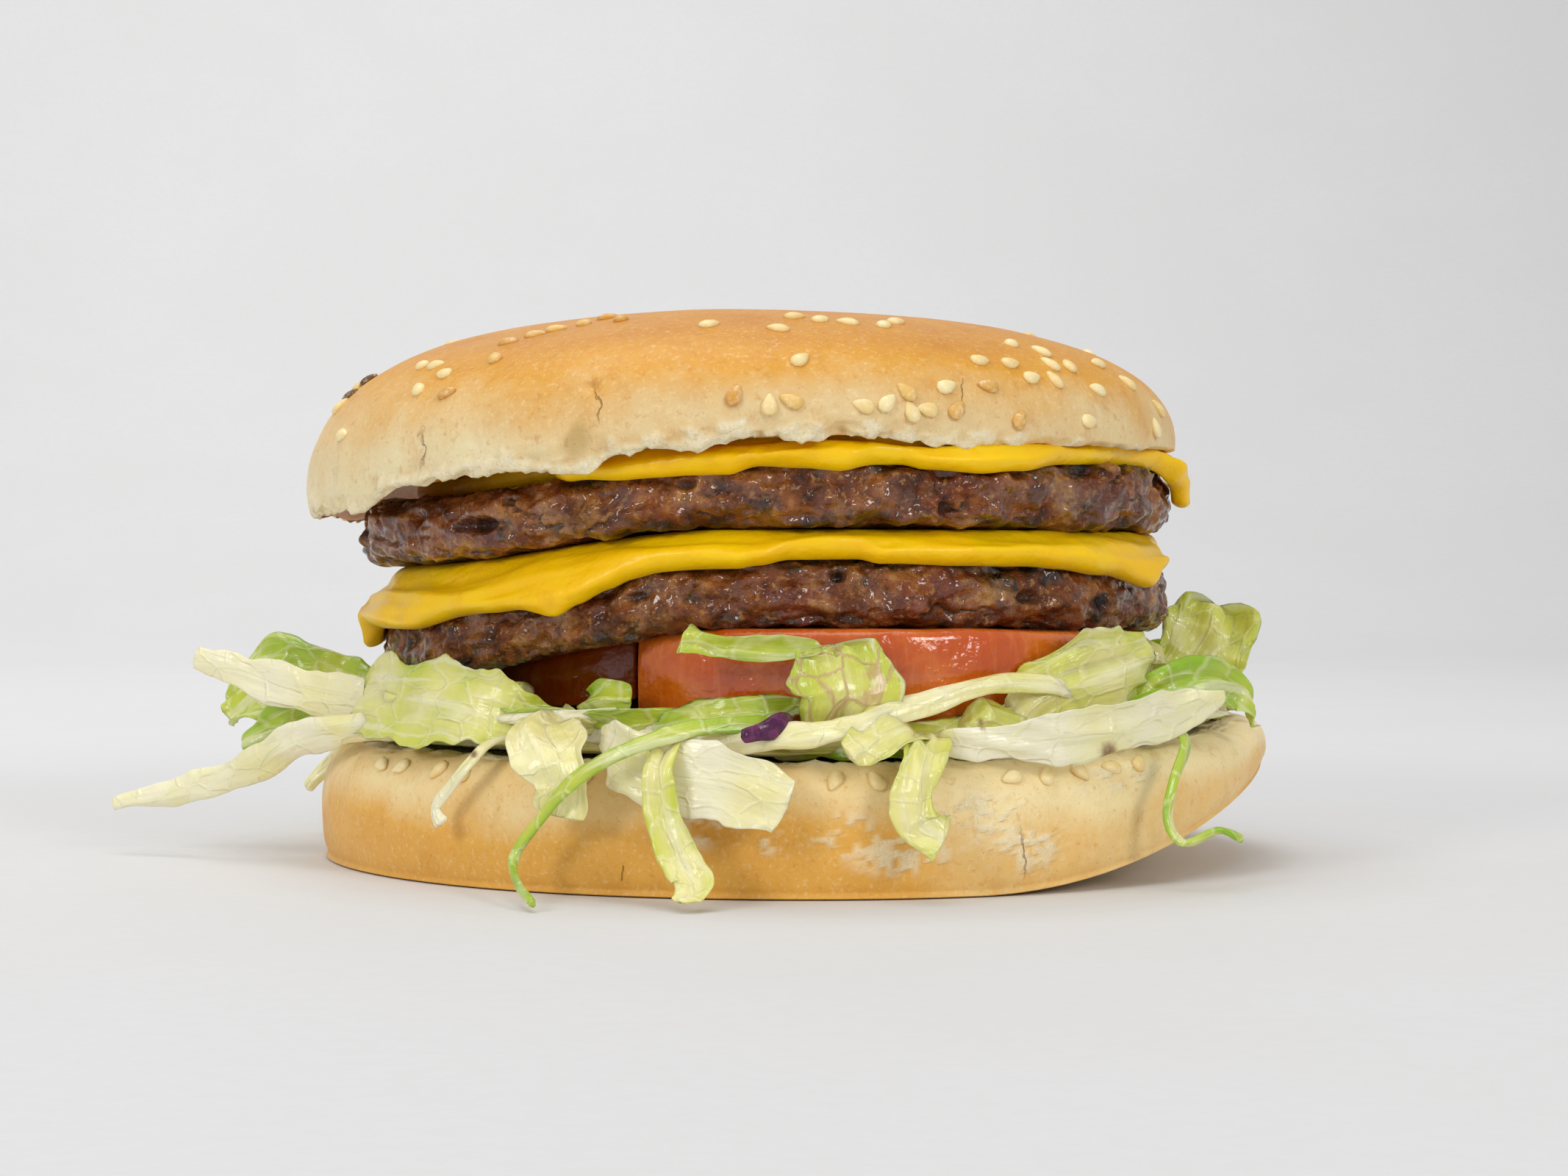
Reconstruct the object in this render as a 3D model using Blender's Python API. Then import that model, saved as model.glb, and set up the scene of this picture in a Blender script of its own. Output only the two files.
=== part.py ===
"""A double cheeseburger standing on its bun heel, with tomato and shredded lettuce.

+Z is up, -Y faces the viewer and +X is the viewer's right. The origin is on the heel's flat bottom.
The named sizes are millimetres, and the meshes are scaled to metres as they are made.
"""

import math
import random

import bmesh
import bpy
from mathutils import Vector, noise

MM = 0.001
GAP = 0.4
AROUND = 48

HEEL_RADIUS = 66.0
HEEL_HEIGHT = 16.4
HEEL_FLAT_END = 22.0
HEEL_LIFT = 0.0073
# The heel stands on three corners of its outline and on its flat middle. The rest of its bottom is a little
# higher, because a body on three corners rests firmly.
FOOT_CORNERS = (75, 180, 285)
FOOT_HOLLOW = 0.4
HOLLOW_RINGS = (2, 3)
CORNER_RING = 3
# The heel's section as (share of the radius, less this much, height), from below round to the cut face.
HEEL_SECTION = (
    (0, 0, 0), (0.24, 0, 0), (0.7, 0, 0), (1, 2.4, 0), (1, 0.7, 1.1), (1, 0, 4.5), (1, 0.1, 9.5),
    (1, 1.0, 13.2), (1, 3.2, 15.7), (1, 5.8, 16.4), (1, 8.5, 15.9), (0.55, 0, 16.0), (0, 0, 16.0),
)
# The rings of the section that are torn and so a little uneven.
HEEL_UNEVEN = range(5, 10)
HEEL_SEED_LESS = 1.6
HEEL_SEED_HEIGHT = 14.3
# Groups of seeds on the heel's upper rim, as (degrees from the front, how many more beside it).
HEEL_SEEDS = ((-57, 1), (-45, 1), (-24, 0), (4, 2), (24, 1), (33, 2))
HEEL_SEED_STEP = 4.5

CROWN_X = -7.6
CROWN_RADIUS = 60.7
CROWN_TOP = 75.3
# Height of the dome's rim where the crown sits highest, and how far it comes down on the left and right.
CROWN_RIM = 58.4
CROWN_DROP_LEFT = 8.6
CROWN_DROP_RIGHT = 2.0
# The torn lip below the rim, as (x, height).
CROWN_LIP = (
    (-70, 47.3), (-58, 47.6), (-49, 51.2), (-38, 52.2), (-27, 52.2), (-22, 54.2), (-15, 54.8), (-5, 56.3),
    (12, 56.1), (22, 55.0), (32, 54.2), (60, 53.2),
)
# Shares of the crown's radius where its underside and its dome have their rings.
CROWN_UNDER = (0, 0.5, 0.8, 0.88, 0.94, 0.975)
CROWN_DOME = (1.0, 0.985, 0.95, 0.89, 0.8, 0.66, 0.48, 0.26, 0)
CROWN_SEEDS_BEHIND = 22
CROWN_SEED_APART = 5
# Half of a sesame seed's length, width and thickness, and how much narrower its pointed end is.
SEED_HALF = (1.55, 0.95, 0.55)
SEED_TAPER = 0.28
# The seeds that the viewer sees, as (degrees, share of the crown's radius).
CROWN_SEEDS_SHOWN = (
    (208, 0.98), (216, 0.85), (226, 0.9), (221, 0.86), (223, 0.93), (230, 0.95), (234, 0.87), (231, 0.78),
    (234, 0.74), (236, 0.7), (240, 0.66), (242, 0.6), (248, 0.67), (266, 0.79), (276, 0.82), (280, 0.7),
    (284, 0.73), (288, 0.75), (294, 0.76), (298, 0.72), (278, 0.95), (270, 0.996), (274, 0.999),
    (276.5, 0.998), (285, 0.999), (288, 0.998), (290.5, 0.992), (293, 0.999), (291, 0.9995), (296, 0.985),
    (302, 0.98), (297, 0.9985), (306, 0.9992), (310, 0.96), (314, 0.96), (316, 0.92), (322, 0.97),
    (318, 0.998), (336, 0.998), (314, 0.84), (318, 0.87), (320, 0.92), (330, 0.9), (333, 0.95), (357, 0.8),
    (308, 0.93), (340, 0.985), (303, 0.93),
)

UPPER_X = -3.5
UPPER_RADIUS = 57.5
UPPER_MIDDLE = 49.4
UPPER_HALF = 4.7

LOWER_X = -2.7
LOWER_RADIUS = 55.9
LOWER_MIDDLE = 37.0
LOWER_HALF = 5.0

# Shares of a patty's flat part where it and the cheese on it have their points.
FLAT_STATIONS = (0, 0.4, 0.76)
# Under 1, a patty's edge is boxier than a half circle.
BOXY = 0.72
RIM_STEPS = 7
# How deep a patty's crags can be on its rim and on its flat faces.
RIM_CRAGS = 2.1
FLAT_CRAGS = 0.7

CHEESE_THICK = 2.0
UPPER_CHEESE_THICK = 1.9
# Shares of the way from the last flat ring to the cheese's hem.
CHEESE_RIM = (0.55, 0.75, 0.88, 1.0)

TOMATO_ROUNDING = 0.9
TOMATO_CENTRE = (6.0, -20.0)
TOMATO_RADIUS = 37.0
TOMATO_THICK = 9.6
TOMATO_BOTTOM = 20.4
TOMATO_TILT = 0.012
TOMATO_CUT_X = -20.0
BACK_TOMATO_CENTRE = (-21.0, -6.0)
BACK_TOMATO_RADIUS = 24.0
BACK_TOMATO_THICK = 5.0
BACK_TOMATO_BOTTOM = 22.6
BACK_TOMATO_TILT = 0.09

# How far each cheese hangs past the patty's shoulder, or stays short of it, at angles in degrees.
# 0 is the viewer's right, 180 the left and 270 the front.
LOWER_CHEESE_HANG = (
    (0, 1), (20, -2), (45, 1), (65, 9), (85, 3), (110, -4), (135, 0), (152, 9), (166, 7), (176, 12.5),
    (186, 13), (192, 10), (197, 10.2), (211, 10.3), (222, 8.5), (231, 9.2), (241, 11.3), (244, 10.7),
    (248, 9.4), (251, 8.4), (255, 7.8), (265, 8), (268, 7), (272, 5), (281, 4.5), (284, 6.7), (296, 7.2),
    (307, 7), (321, 8.4), (331, 10.6), (336, 8), (344, 3),
)
UPPER_CHEESE_HANG = (
    (0, 6), (6, 1), (25, -6), (45, -9), (70, 3), (88, 9), (105, 2), (135, -10), (160, -6), (180, -3),
    (200, -7), (235, -3), (244, 6), (252, 8.4), (265, 8.9), (269, 6.7), (274, 7.2), (279, 8.1), (284, 6),
    (287, 6), (290, 7.4), (297, 8.3), (304, 7.6), (314, 4), (330, 2), (341, 4), (346, 9), (352, 12.4),
    (356, 9.5),
)

# Each shred is its path as (degrees, distance from the axis, height), its widths along the path, the way
# its width lies as (leftwards round the rim, outwards, upwards), and how wavy its edges are.
SHREDS = (
    ("rib_left_upper", ((207, 54, 18.8), (202, 61, 21), (193, 69, 23), (187, 77, 25.5), (184, 84, 27.5)),
     (4, 6, 6, 5, 3), (0, -0.2, 1), 0.3),
    ("rib_left_lower", ((214, 54, 18.7), (211, 62, 19.3), (199, 69, 17.5), (190, 76, 12.5), (185, 85, 9.3),
                        (182, 96, 6.8)), (3, 4, 5, 4.5, 4, 2), (0, 0.5, 1), 0.3),
    ("leaf_left_back", ((178, 56.6, 18.6), (177, 62, 22), (176, 70, 23.5), (175, 77, 22), (174, 82, 18)),
     (2.4, 8, 13, 12, 5), (0.3, -0.3, 1), 1.2),
    ("green_left", ((192, 54, 18.7), (189, 62, 20), (186, 70, 19), (183, 77, 15.5)),
     (3, 5, 6, 2), (0.2, 0.4, 1), 1.0),
    ("leaf_left", ((240, 53, 19), (235, 60.5, 21), (228, 62.8, 22.8), (216, 63, 23), (203, 62.8, 23)),
     (3, 7, 11, 11.5, 10), (0, -0.4, 1), 0.7),
    ("green_curl_left", ((231, 53, 19), (230.5, 60, 20.5), (232, 60.5, 23), (234, 59.5, 24.6)),
     (3, 4, 4, 2), (1, 0, 0), 0.5),
    ("green_mid", ((244, 52, 19.3), (241, 56.5, 22.5), (244, 58, 24.5), (249, 58, 24.4)),
     (3, 5, 5, 2), (0, -0.2, 1), 0.6),
    ("thin_left", ((236, 54, 18.8), (234, 64, 18.4), (233.3, 67.8, 16), (231.5, 68.8, 13), (229.6, 69.2, 10.3),
                   (230.4, 69.4, 8)), (2, 2, 1.8, 1.6, 1.6, 2.8), (1, 0, 0), 0.1),
    ("rib_front", ((243, 54, 19), (241, 61, 20.6), (241.5, 65.5, 20.2), (245, 69.2, 17.2), (246.2, 70.2, 13.8),
                   (245.8, 70.3, 10)), (5, 8, 9, 9, 8, 6), (1, 0, 0.1), 0.5),
    ("rib_front_wide", ((247, 54, 18.8), (248, 64, 18.6), (252, 69.4, 16.8), (258, 71, 15.5), (264, 71.5, 14.2),
                        (269, 71.3, 11.5)), (3, 5, 8, 9, 9, 4), (0, -0.12, 1), 0.4),
    ("green_strand", ((272, 54, 19), (267, 64, 21), (261, 68.5, 21.1), (255, 72.5, 19), (249, 72.8, 15.2),
                      (244.3, 72, 9.5), (242, 73, 5.2), (245.5, 79, 3.3), (248.5, 84, 2.4)),
     (1.4, 2, 2, 1.8, 1.8, 1.6, 1.4, 1.4, 1.2), (0.5, -0.3, 1), 0.1),
    ("long_strand", ((305, 54, 18.3), (305.5, 60, 19.8), (303, 61.6, 24.8), (293, 62, 25.8), (282, 63.5, 23),
                     (274, 65.5, 20.4), (266, 67, 19.6), (257, 65, 19.2), (252, 56, 18.6)),
     (2.4, 2.2, 2.6, 2.8, 3, 3.2, 3.2, 3, 3), (0, -0.4, 1), 0.2),
    ("strip_hanging", ((259, 54, 18.7), (257.3, 65, 19.4), (257.1, 72.3, 16.8), (257.2, 73.3, 11.5),
                       (259, 74, 6.8), (260.8, 76, 3.8), (260.2, 80, 2.5)),
     (4, 4.5, 4.2, 4.2, 5, 4.6, 2.5), (1, 0, 0), 0.4),
    ("leaf_over_tomato", ((275, 54, 18.8), (275, 60.8, 20.6), (275.4, 63.2, 24.5), (275, 61.8, 28.3),
                          (274.4, 60, 30.8)), (6, 10, 13, 12.5, 10), (1, 0, 0), 0.6),
    ("green_on_tomato", ((273, 60, 30), (266, 60.2, 30), (260, 60.3, 30.6), (256.5, 60, 32)),
     (2.2, 2.6, 3.2, 2.4), (0, 0, 1), 0.4),
    ("cabbage_bit", ((271, 54, 18.8), (268.5, 63, 20.4), (265.5, 64.5, 19.9)), (1.5, 2.4, 1.4), (0, -0.1, 1), 0.1),
    ("ribbed_leaf", ((284, 54, 18.2), (283, 60.5, 19.2), (281, 64.5, 20.6), (277.5, 67, 19), (275, 68.2, 17.4)),
     (2.4, 4.5, 8, 6, 3), (0.8, -0.4, 0.6), 0.6),
    ("ribbed_leaf_right", ((287, 54, 18), (288, 58.5, 18.4), (290, 62, 20.8), (293, 62.6, 21.4), (298, 62, 20)),
     (2.4, 3, 5, 6, 3), (0, -0.3, 1), 0.8),
    ("strip_right_hanging", ((286, 54, 18.7), (284, 64, 18.9), (282.3, 69, 16.4), (281.4, 70.4, 12.5),
                             (281.6, 70.8, 9.2), (284, 71.3, 7.2)),
     (5, 6, 5.5, 5, 5.5, 7), (1, 0, 0.1), 0.4),
    ("leaf_right_big", ((294, 54, 18.3), (296, 60.8, 20.8), (302, 61.8, 25.2), (311, 61.8, 27.3),
                        (319, 61.2, 28.6)), (2.4, 5, 10, 12, 6), (-0.35, -0.15, 1), 0.8),
    ("leaf_right_long", ((288, 54, 18.6), (286, 63.5, 18.6), (293, 67, 18.9), (302, 68.5, 19.4), (312, 69, 21.3),
                         (320, 71, 23.8)), (2, 3, 5, 7, 7, 2), (0, 0.25, 1), 0.4),
    ("green_right", ((311, 53, 18.4), (314, 60.5, 21), (317, 63, 24), (322, 65.4, 25.6), (329, 68, 24.4),
                     (331, 69.5, 19.5)), (2.4, 4, 6, 6, 6, 2), (0.1, -0.3, 1), 1.2),
    ("green_right_low", ((309, 54, 18), (310.5, 59, 18.8), (314, 62.5, 22), (322, 66.5, 23.6)),
     (2.4, 2.6, 4, 2), (0, -0.3, 1), 0.7),
    ("leaf_right_back", ((358, 50, 20.5), (360, 55, 25), (362, 58.5, 30), (364, 60.5, 34.5)),
     (5, 11, 14, 10), (0, 1, 0), 1.2),
    ("curl_right", ((320, 54, 19), (318, 62, 20), (314.8, 69, 18.5), (311.2, 71.2, 14), (309.8, 71.6, 9),
                    (311, 73, 6), (314.2, 75, 7.4), (317, 76, 6.2)), (3, 2, 1.6, 1.5, 1.5, 1.6, 1.6, 1.6),
     (1, 0, 0.1), 0.1),
    ("back_strip_left", ((128, 54, 19), (130, 63, 20), (129, 69.5, 17), (127.5, 71, 11.5)),
     (5, 7, 6, 3), (1, 0, 0), 0.6),
    ("back_leaf", ((106, 54, 19.2), (102, 60, 21.5), (96, 62.5, 22.8), (87, 61.5, 21.5)),
     (4, 9, 9, 5), (0, -0.3, 1), 1.0),
    ("back_rib", ((60, 54, 19), (66, 64, 19.6), (78, 69.5, 18), (87, 71.5, 14), (93, 72, 9)),
     (3, 4, 4, 3.6, 2.4), (0, 0.1, 1), 0.3),
    ("back_strip_right", ((44, 53, 19.8), (41, 60, 22.5), (35, 64, 24), (28, 66, 23)),
     (4, 6, 7, 3), (0, -0.3, 1), 1.0),
    ("back_strand", ((148, 54, 19.2), (150, 62, 20.2), (154, 69, 17.5), (158, 73, 12), (160, 78, 6.5)),
     (3, 4, 3.5, 3, 1.6), (0.3, 0.2, 1), 0.3),
)
SHRED_THICK = 0.9
BED_RADIUS = 58.0
BED_THICK = 3.2
# The bed's section as (share of the radius, share of the thickness).
BED_SECTION = ((0, 0), (0.6, 0), (0.97, 0), (1.0, 0.35), (0.985, 0.8), (0.93, 1.0), (0.5, 1.0), (0, 1.0))

# Leaves packed between the bed and the lower patty, from the right round the back to the left front.
PACKED = (((-12, 51, 24.6), (20, 50, 25), (60, 50, 25.2), (100, 50, 24.8), (125, 51, 23), (150, 51.5, 21.5),
           (175, 52.5, 21.2), (200, 53, 21.2), (220, 52.5, 21.8), (236, 52, 23.2)),
          (11, 13, 13.4, 12.4, 9, 6, 5.6, 5.8, 6.4, 8.6), (0, 0, 1), 1.2)
PACKED_THICK = 3.0


def ease(share):
    """Rises smoothly from 0 to 1 as the share does, and stays there on either side."""
    share = min(max(share, 0.0), 1.0)
    return share * share * (3 - 2 * share)


def blend(low, high, share):
    return low + (high - low) * share


def lump(x, y, z, size, which):
    """Smooth unevenness between about -1 and 1, with lumps of the given size in millimetres."""
    return noise.noise(Vector((x / size + 11.7 * which, y / size - 5.3 * which, z / size + 3.1)))


def around_table(table, degrees):
    """The smooth value of a table of (degrees, value) that closes on itself."""
    degrees %= 360
    for (start, first), (end, second) in zip(table, table[1:] + ((table[0][0] + 360, table[0][1]),)):
        if start <= degrees <= end:
            return blend(first, second, ease((degrees - start) / (end - start)))
    return table[0][1]


def through(points, share):
    """The point or number at a share of the way along a smooth line through the given ones."""
    spans = len(points) - 1
    spot = min(int(share * spans), spans - 1)
    t = share * spans - spot
    before, start, end, after = (points[min(max(spot + step, 0), spans)] for step in (-1, 0, 1, 2))
    return 0.5 * (
        2 * start + (end - before) * t + (2 * before - 5 * start + 4 * end - after) * t * t
        + (3 * start - before - 3 * end + after) * t**3
    )


def upper_sag(x):
    """The upper patty, its cheese and the crown's cut face droop over the left side."""
    return -4.5 * ease((-8 - x) / 44)


def lower_sag(x):
    """The lower patty droops further on the left, and a little on the right."""
    return -7.0 * ease((-8 - x) / 46) - 1.2 * ease((x - 18) / 36)


def heel_lift(x, share_up):
    """The heel's right side curls off the table, and its top edge rises a quarter as much."""
    past = max(x - HEEL_FLAT_END, 0.0)
    return HEEL_LIFT * past * past * (1 - 0.75 * share_up)


def patty_edge(radius, degrees, which):
    """A patty's outline is a little uneven, and the cheese over it has the same outline."""
    turn = math.radians(degrees)
    return radius * (0.988 + 0.018 * lump(math.cos(turn), math.sin(turn), 0, 0.8, which))


def no_rise(_x):
    """The upper cheese has only its own thickness."""
    return 0.0


def fold_rise(x):
    """The lower cheese is folded where the patties part at both sides, and reaches the upper one."""
    return upper_sag(x) - lower_sag(x)


def shoulder(edge, half, offset, along):
    """Radius and height over the middle, on a shell outside a patty, at a distance from its centre.

    The shell is flat to where the edge begins to round, then runs down the side, with boxy corners.
    """
    flat = edge - half
    if along <= flat:
        return along, half + offset
    angle = math.pi / 2 - (along - flat) / (half + offset)
    if angle < 0:
        return edge + offset, angle * (half + offset)
    reach = half + offset
    return flat + reach * math.cos(angle) ** BOXY, reach * math.sin(angle) ** BOXY


def material(name, color, roughness):
    made = bpy.data.materials.new(name)
    made.use_nodes = True
    shader = made.node_tree.nodes["Principled BSDF"]
    shader.inputs["Base Color"].default_value = (*color, 1)
    shader.inputs["Roughness"].default_value = roughness
    shader.inputs["Metallic"].default_value = 0.0
    return made


def object_from(name, mesh, finish):
    """An object in metres from a mesh in millimetres, smooth but for its sharp edges."""
    bmesh.ops.recalc_face_normals(mesh, faces=mesh.faces)
    bmesh.ops.scale(mesh, vec=(MM, MM, MM), verts=mesh.verts)
    data = bpy.data.meshes.new(name)
    mesh.to_mesh(data)
    mesh.free()
    data.shade_smooth()
    data.set_sharp_from_angle(angle=math.radians(50))
    made = bpy.data.objects.new(name, data)
    bpy.context.scene.collection.objects.link(made)
    if finish:
        data.materials.append(finish)
    return made


def round_body(name, rings, point, finish):
    """A closed body from rings of points, which run from the bottom's middle round to the top's."""
    mesh = bmesh.new()
    bottom = mesh.verts.new(point(0, 0))
    rows = []
    for ring in range(1, rings):
        rows.append([mesh.verts.new(point(ring, 360 * side / AROUND)) for side in range(AROUND)])
    top = mesh.verts.new(point(rings, 0))
    for side in range(AROUND):
        after = (side + 1) % AROUND
        mesh.faces.new((bottom, rows[0][after], rows[0][side]))
        mesh.faces.new((top, rows[-1][side], rows[-1][after]))
        for low, high in zip(rows, rows[1:]):
            mesh.faces.new((low[side], low[after], high[after], high[side]))
    return object_from(name, mesh, finish)


def apply_modifiers(made):
    bpy.context.view_layer.objects.active = made
    for modifier in list(made.modifiers):
        bpy.ops.object.modifier_apply(modifier=modifier.name)


def drop_pockets(made):
    """Removes the closed pockets that crossing strips leave inside, so only the outer surface stays."""
    mesh = bmesh.new()
    mesh.from_mesh(made.data)
    waiting = set(mesh.verts)
    islands = []
    while waiting:
        island = {waiting.pop()}
        edge = list(island)
        while edge:
            near = {link.other_vert(vert) for vert in edge for link in vert.link_edges} - island
            island |= near
            edge = list(near)
        waiting -= island
        islands.append(island)
    outer = max(islands, key=len)
    bmesh.ops.delete(mesh, geom=[vert for vert in mesh.verts if vert not in outer], context="VERTS")
    mesh.to_mesh(made.data)
    mesh.free()


def fuse(base, pieces):
    """Joins all the pieces to the base with one Boolean union, and removes them."""
    group = bpy.data.collections.new(base.name + "_toppings")
    bpy.context.scene.collection.children.link(group)
    for piece in pieces:
        bpy.context.scene.collection.objects.unlink(piece)
        group.objects.link(piece)
    union = base.modifiers.new("fuse", "BOOLEAN")
    union.operation = "UNION"
    union.operand_type = "COLLECTION"
    union.collection = group
    union.solver = "EXACT"
    apply_modifiers(base)
    drop_pockets(base)
    for piece in pieces:
        bpy.data.objects.remove(piece)
    bpy.data.collections.remove(group)


def seed(place, outward, turn):
    """One sesame seed, a flat drop lying on the bun with its lower half sunk in."""
    mesh = bmesh.new()
    bmesh.ops.create_uvsphere(mesh, u_segments=6, v_segments=3, radius=1.0)
    for vert in mesh.verts:
        taper = 1 - SEED_TAPER * vert.co.x
        vert.co = Vector((vert.co.x, taper * vert.co.y, taper * vert.co.z)) * Vector(SEED_HALF)
    facing = outward.to_track_quat("Z", "Y").to_matrix().to_4x4()
    spin = Vector((math.cos(turn), math.sin(turn), 0)).to_track_quat("X", "Z").to_matrix().to_4x4()
    bmesh.ops.transform(mesh, matrix=facing @ spin, verts=mesh.verts)
    bmesh.ops.translate(mesh, vec=place, verts=mesh.verts)
    return object_from("seed", mesh, None)


def crown_rim(x):
    """Height of the dome's rim, which comes down at both ends."""
    return CROWN_RIM - CROWN_DROP_LEFT * ease((-15 - x) / 50) - CROWN_DROP_RIGHT * ease((x - 5) / 40)


def crown_lip(x):
    """Height of the torn lip under the rim."""
    for (start, first), (end, second) in zip(CROWN_LIP, CROWN_LIP[1:]):
        if x <= end:
            return blend(first, second, ease((x - start) / (end - start)))
    return CROWN_LIP[-1][1]


def crown_dome(share, degrees):
    """A point of the crown's crust at a share of its radius."""
    turn = math.radians(degrees)
    wide = CROWN_RADIUS * (1 + 0.012 * lump(math.cos(turn), math.sin(turn), 0, 0.9, 3))
    rim = crown_rim(CROWN_X + wide * math.cos(turn))
    x = CROWN_X + share * wide * math.cos(turn)
    y = share * wide * math.sin(turn)
    z = rim + (CROWN_TOP - rim) * max(1 - share**2.5, 0) ** 0.4
    z += 0.5 * lump(x, y, 0, 22, 4) * min(1, 3 * (1 - share))
    return Vector((x, y, z))


def crown_under(share, degrees):
    """A point of the crown's cut face. It clears the cheese, and its lip hangs outside the patty."""
    turn = math.radians(degrees)
    rim = crown_dome(1, degrees)
    x = blend(CROWN_X, rim.x, share)
    y = rim.y * share
    patty = math.degrees(math.atan2(y, x - UPPER_X))
    away = math.hypot(x - UPPER_X, y)
    edge = patty_edge(UPPER_RADIUS, patty, 1)
    cover = 2 * GAP + UPPER_CHEESE_THICK
    seat = UPPER_MIDDLE + UPPER_HALF + cover + GAP + upper_sag(x)
    lip = crown_lip(x) + 0.7 * lump(math.cos(turn), math.sin(turn), 0, 0.12, 5)
    z = blend(seat, lip, ease((share - 0.84) / 0.12))
    inside = (away - edge + UPPER_HALF) / (UPPER_HALF + cover)
    if inside < 0.97:
        shell = (1 - max(inside, 0) ** (2 / BOXY)) ** (BOXY / 2) * (UPPER_HALF + cover)
        z = max(z, UPPER_MIDDLE + upper_sag(x) + shell + GAP)
    return Vector((x, y, z))


def make_crown(finish):
    rows = [(crown_under, share) for share in CROWN_UNDER] + [(crown_dome, share) for share in CROWN_DOME]

    def point(ring, degrees):
        shape, share = rows[ring]
        return shape(share, degrees)

    crown = round_body("bun_crown", len(rows) - 1, point, finish)
    chance = random.Random(11)
    spots = list(CROWN_SEEDS_SHOWN)
    while len(spots) < len(CROWN_SEEDS_SHOWN) + CROWN_SEEDS_BEHIND:
        spot = (chance.uniform(-10, 200), chance.uniform(0.05, 1) ** 0.5 * 0.95)
        place = crown_dome(spot[1], spot[0])
        if all((place - crown_dome(share, degrees)).length > CROWN_SEED_APART for degrees, share in spots):
            spots.append(spot)
    seeds = []
    for degrees, share in spots:
        place = crown_dome(share, degrees)
        uphill = crown_dome(share - 0.02, degrees) - place
        beside = crown_dome(share, degrees + 2) - place
        outward = beside.cross(uphill).normalized()
        seeds.append(seed(place + 0.02 * outward, outward, chance.uniform(0, math.pi)))
    fuse(crown, seeds)


def heel_point(share, less, height, degrees):
    """A point of the heel at a share of its radius, less a few millimetres."""
    turn = math.radians(degrees)
    wide = HEEL_RADIUS + 0.7 * lump(math.cos(turn), math.sin(turn), 0, 0.7, 6)
    x = (wide * share - less) * math.cos(turn)
    y = (wide * share - less) * math.sin(turn)
    return Vector((x, y, height + heel_lift(x, height / HEEL_HEIGHT)))


def make_heel(finish):
    """The cut face is a shallow dish with a torn rim. The bottom is flat as far as the curled-up side."""
    def point(ring, degrees):
        place = heel_point(*HEEL_SECTION[ring], degrees)
        if ring in HOLLOW_RINGS and not (ring == CORNER_RING and degrees in FOOT_CORNERS):
            place.z += FOOT_HOLLOW
        if ring in HEEL_UNEVEN:
            place.z += 0.35 * lump(place.x, place.y, place.z, 9, 7)
        return place

    heel = round_body("bun_heel", len(HEEL_SECTION) - 1, point, finish)
    seeds = []
    for degrees, more in HEEL_SEEDS:
        for step in range(more + 1):
            angle = degrees - 90 + HEEL_SEED_STEP * step
            turn = math.radians(angle)
            outward = Vector((math.cos(turn), math.sin(turn), 0.75)).normalized()
            seeds.append(seed(heel_point(1, HEEL_SEED_LESS, HEEL_SEED_HEIGHT, angle), outward, 0.9 * angle))
    fuse(heel, seeds)


def make_patty(name, x_middle, radius, middle, half, sag, which, finish):
    """A craggy ground-beef disc. Its crags only go inwards from a smooth outer form."""
    rings = 2 * len(FLAT_STATIONS) + RIM_STEPS - 1
    quarter = (RIM_STEPS - 1) / 2

    def point(ring, degrees):
        turn = math.radians(degrees)
        edge = patty_edge(radius, degrees, which)
        upside = ring > rings / 2
        step = rings - ring if upside else ring
        flat = edge - half
        if step < len(FLAT_STATIONS):
            away, height = shoulder(edge, half, 0, flat * FLAT_STATIONS[step])
        else:
            round_share = (step - len(FLAT_STATIONS)) / quarter
            away, height = shoulder(edge, half, 0, flat + round_share * half * math.pi / 2)
        height = max(height, 0)
        sign = 1 if upside else -1
        x = x_middle + away * math.cos(turn)
        y = away * math.sin(turn)
        z = middle + sign * height + sag(x)
        if 0 < ring < rings:
            rough = 0.5 + 0.4 * lump(x, y, z, 13, which) + 0.4 * lump(x, y, z, 5.5, which + 2)
            depth = min(max(rough, 0.25), 1.2) * (RIM_CRAGS if step >= len(FLAT_STATIONS) else FLAT_CRAGS)
            inwards = ease((away - flat) / half)
            x -= depth * inwards * math.cos(turn)
            y -= depth * inwards * math.sin(turn)
            z -= depth * (height / half) * sign * 0.7
        return Vector((x, y, z))

    return round_body(name, rings, point, finish)


def make_cheese(name, x_middle, radius, middle, half, sag, which, hangs, thick, rise, finish):
    """A soft slice lying on a patty, bent over its edge where a corner reaches past it."""
    rings = 2 * (len(FLAT_STATIONS) + len(CHEESE_RIM)) - 1

    def point(ring, degrees):
        turn = math.radians(degrees)
        outer = ring > rings / 2
        step = rings - ring if outer else ring
        edge = patty_edge(radius, degrees, which)
        flat = edge - half
        if step < len(FLAT_STATIONS):
            along = flat * FLAT_STATIONS[step]
        else:
            hem = flat + around_table(hangs, degrees)
            along = blend(flat * FLAT_STATIONS[-1], hem, CHEESE_RIM[step - len(FLAT_STATIONS)])
        extra = rise(x_middle + min(along, edge) * math.cos(turn))
        offset = GAP + (thick + extra if outer else 0)
        # A wider shell's bend is longer, and the hem ends at the same angle inside and outside.
        bent = max(along - flat, 0) * (half + offset) / (half + GAP + thick)
        away, height = shoulder(edge, half, offset, min(along, flat) + bent)
        x = x_middle + away * math.cos(turn)
        if outer:
            height += min(rise(x) - extra, 0)
        return Vector((x, away * math.sin(turn), middle + height + sag(x)))

    return round_body(name, rings, point, finish)


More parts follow.
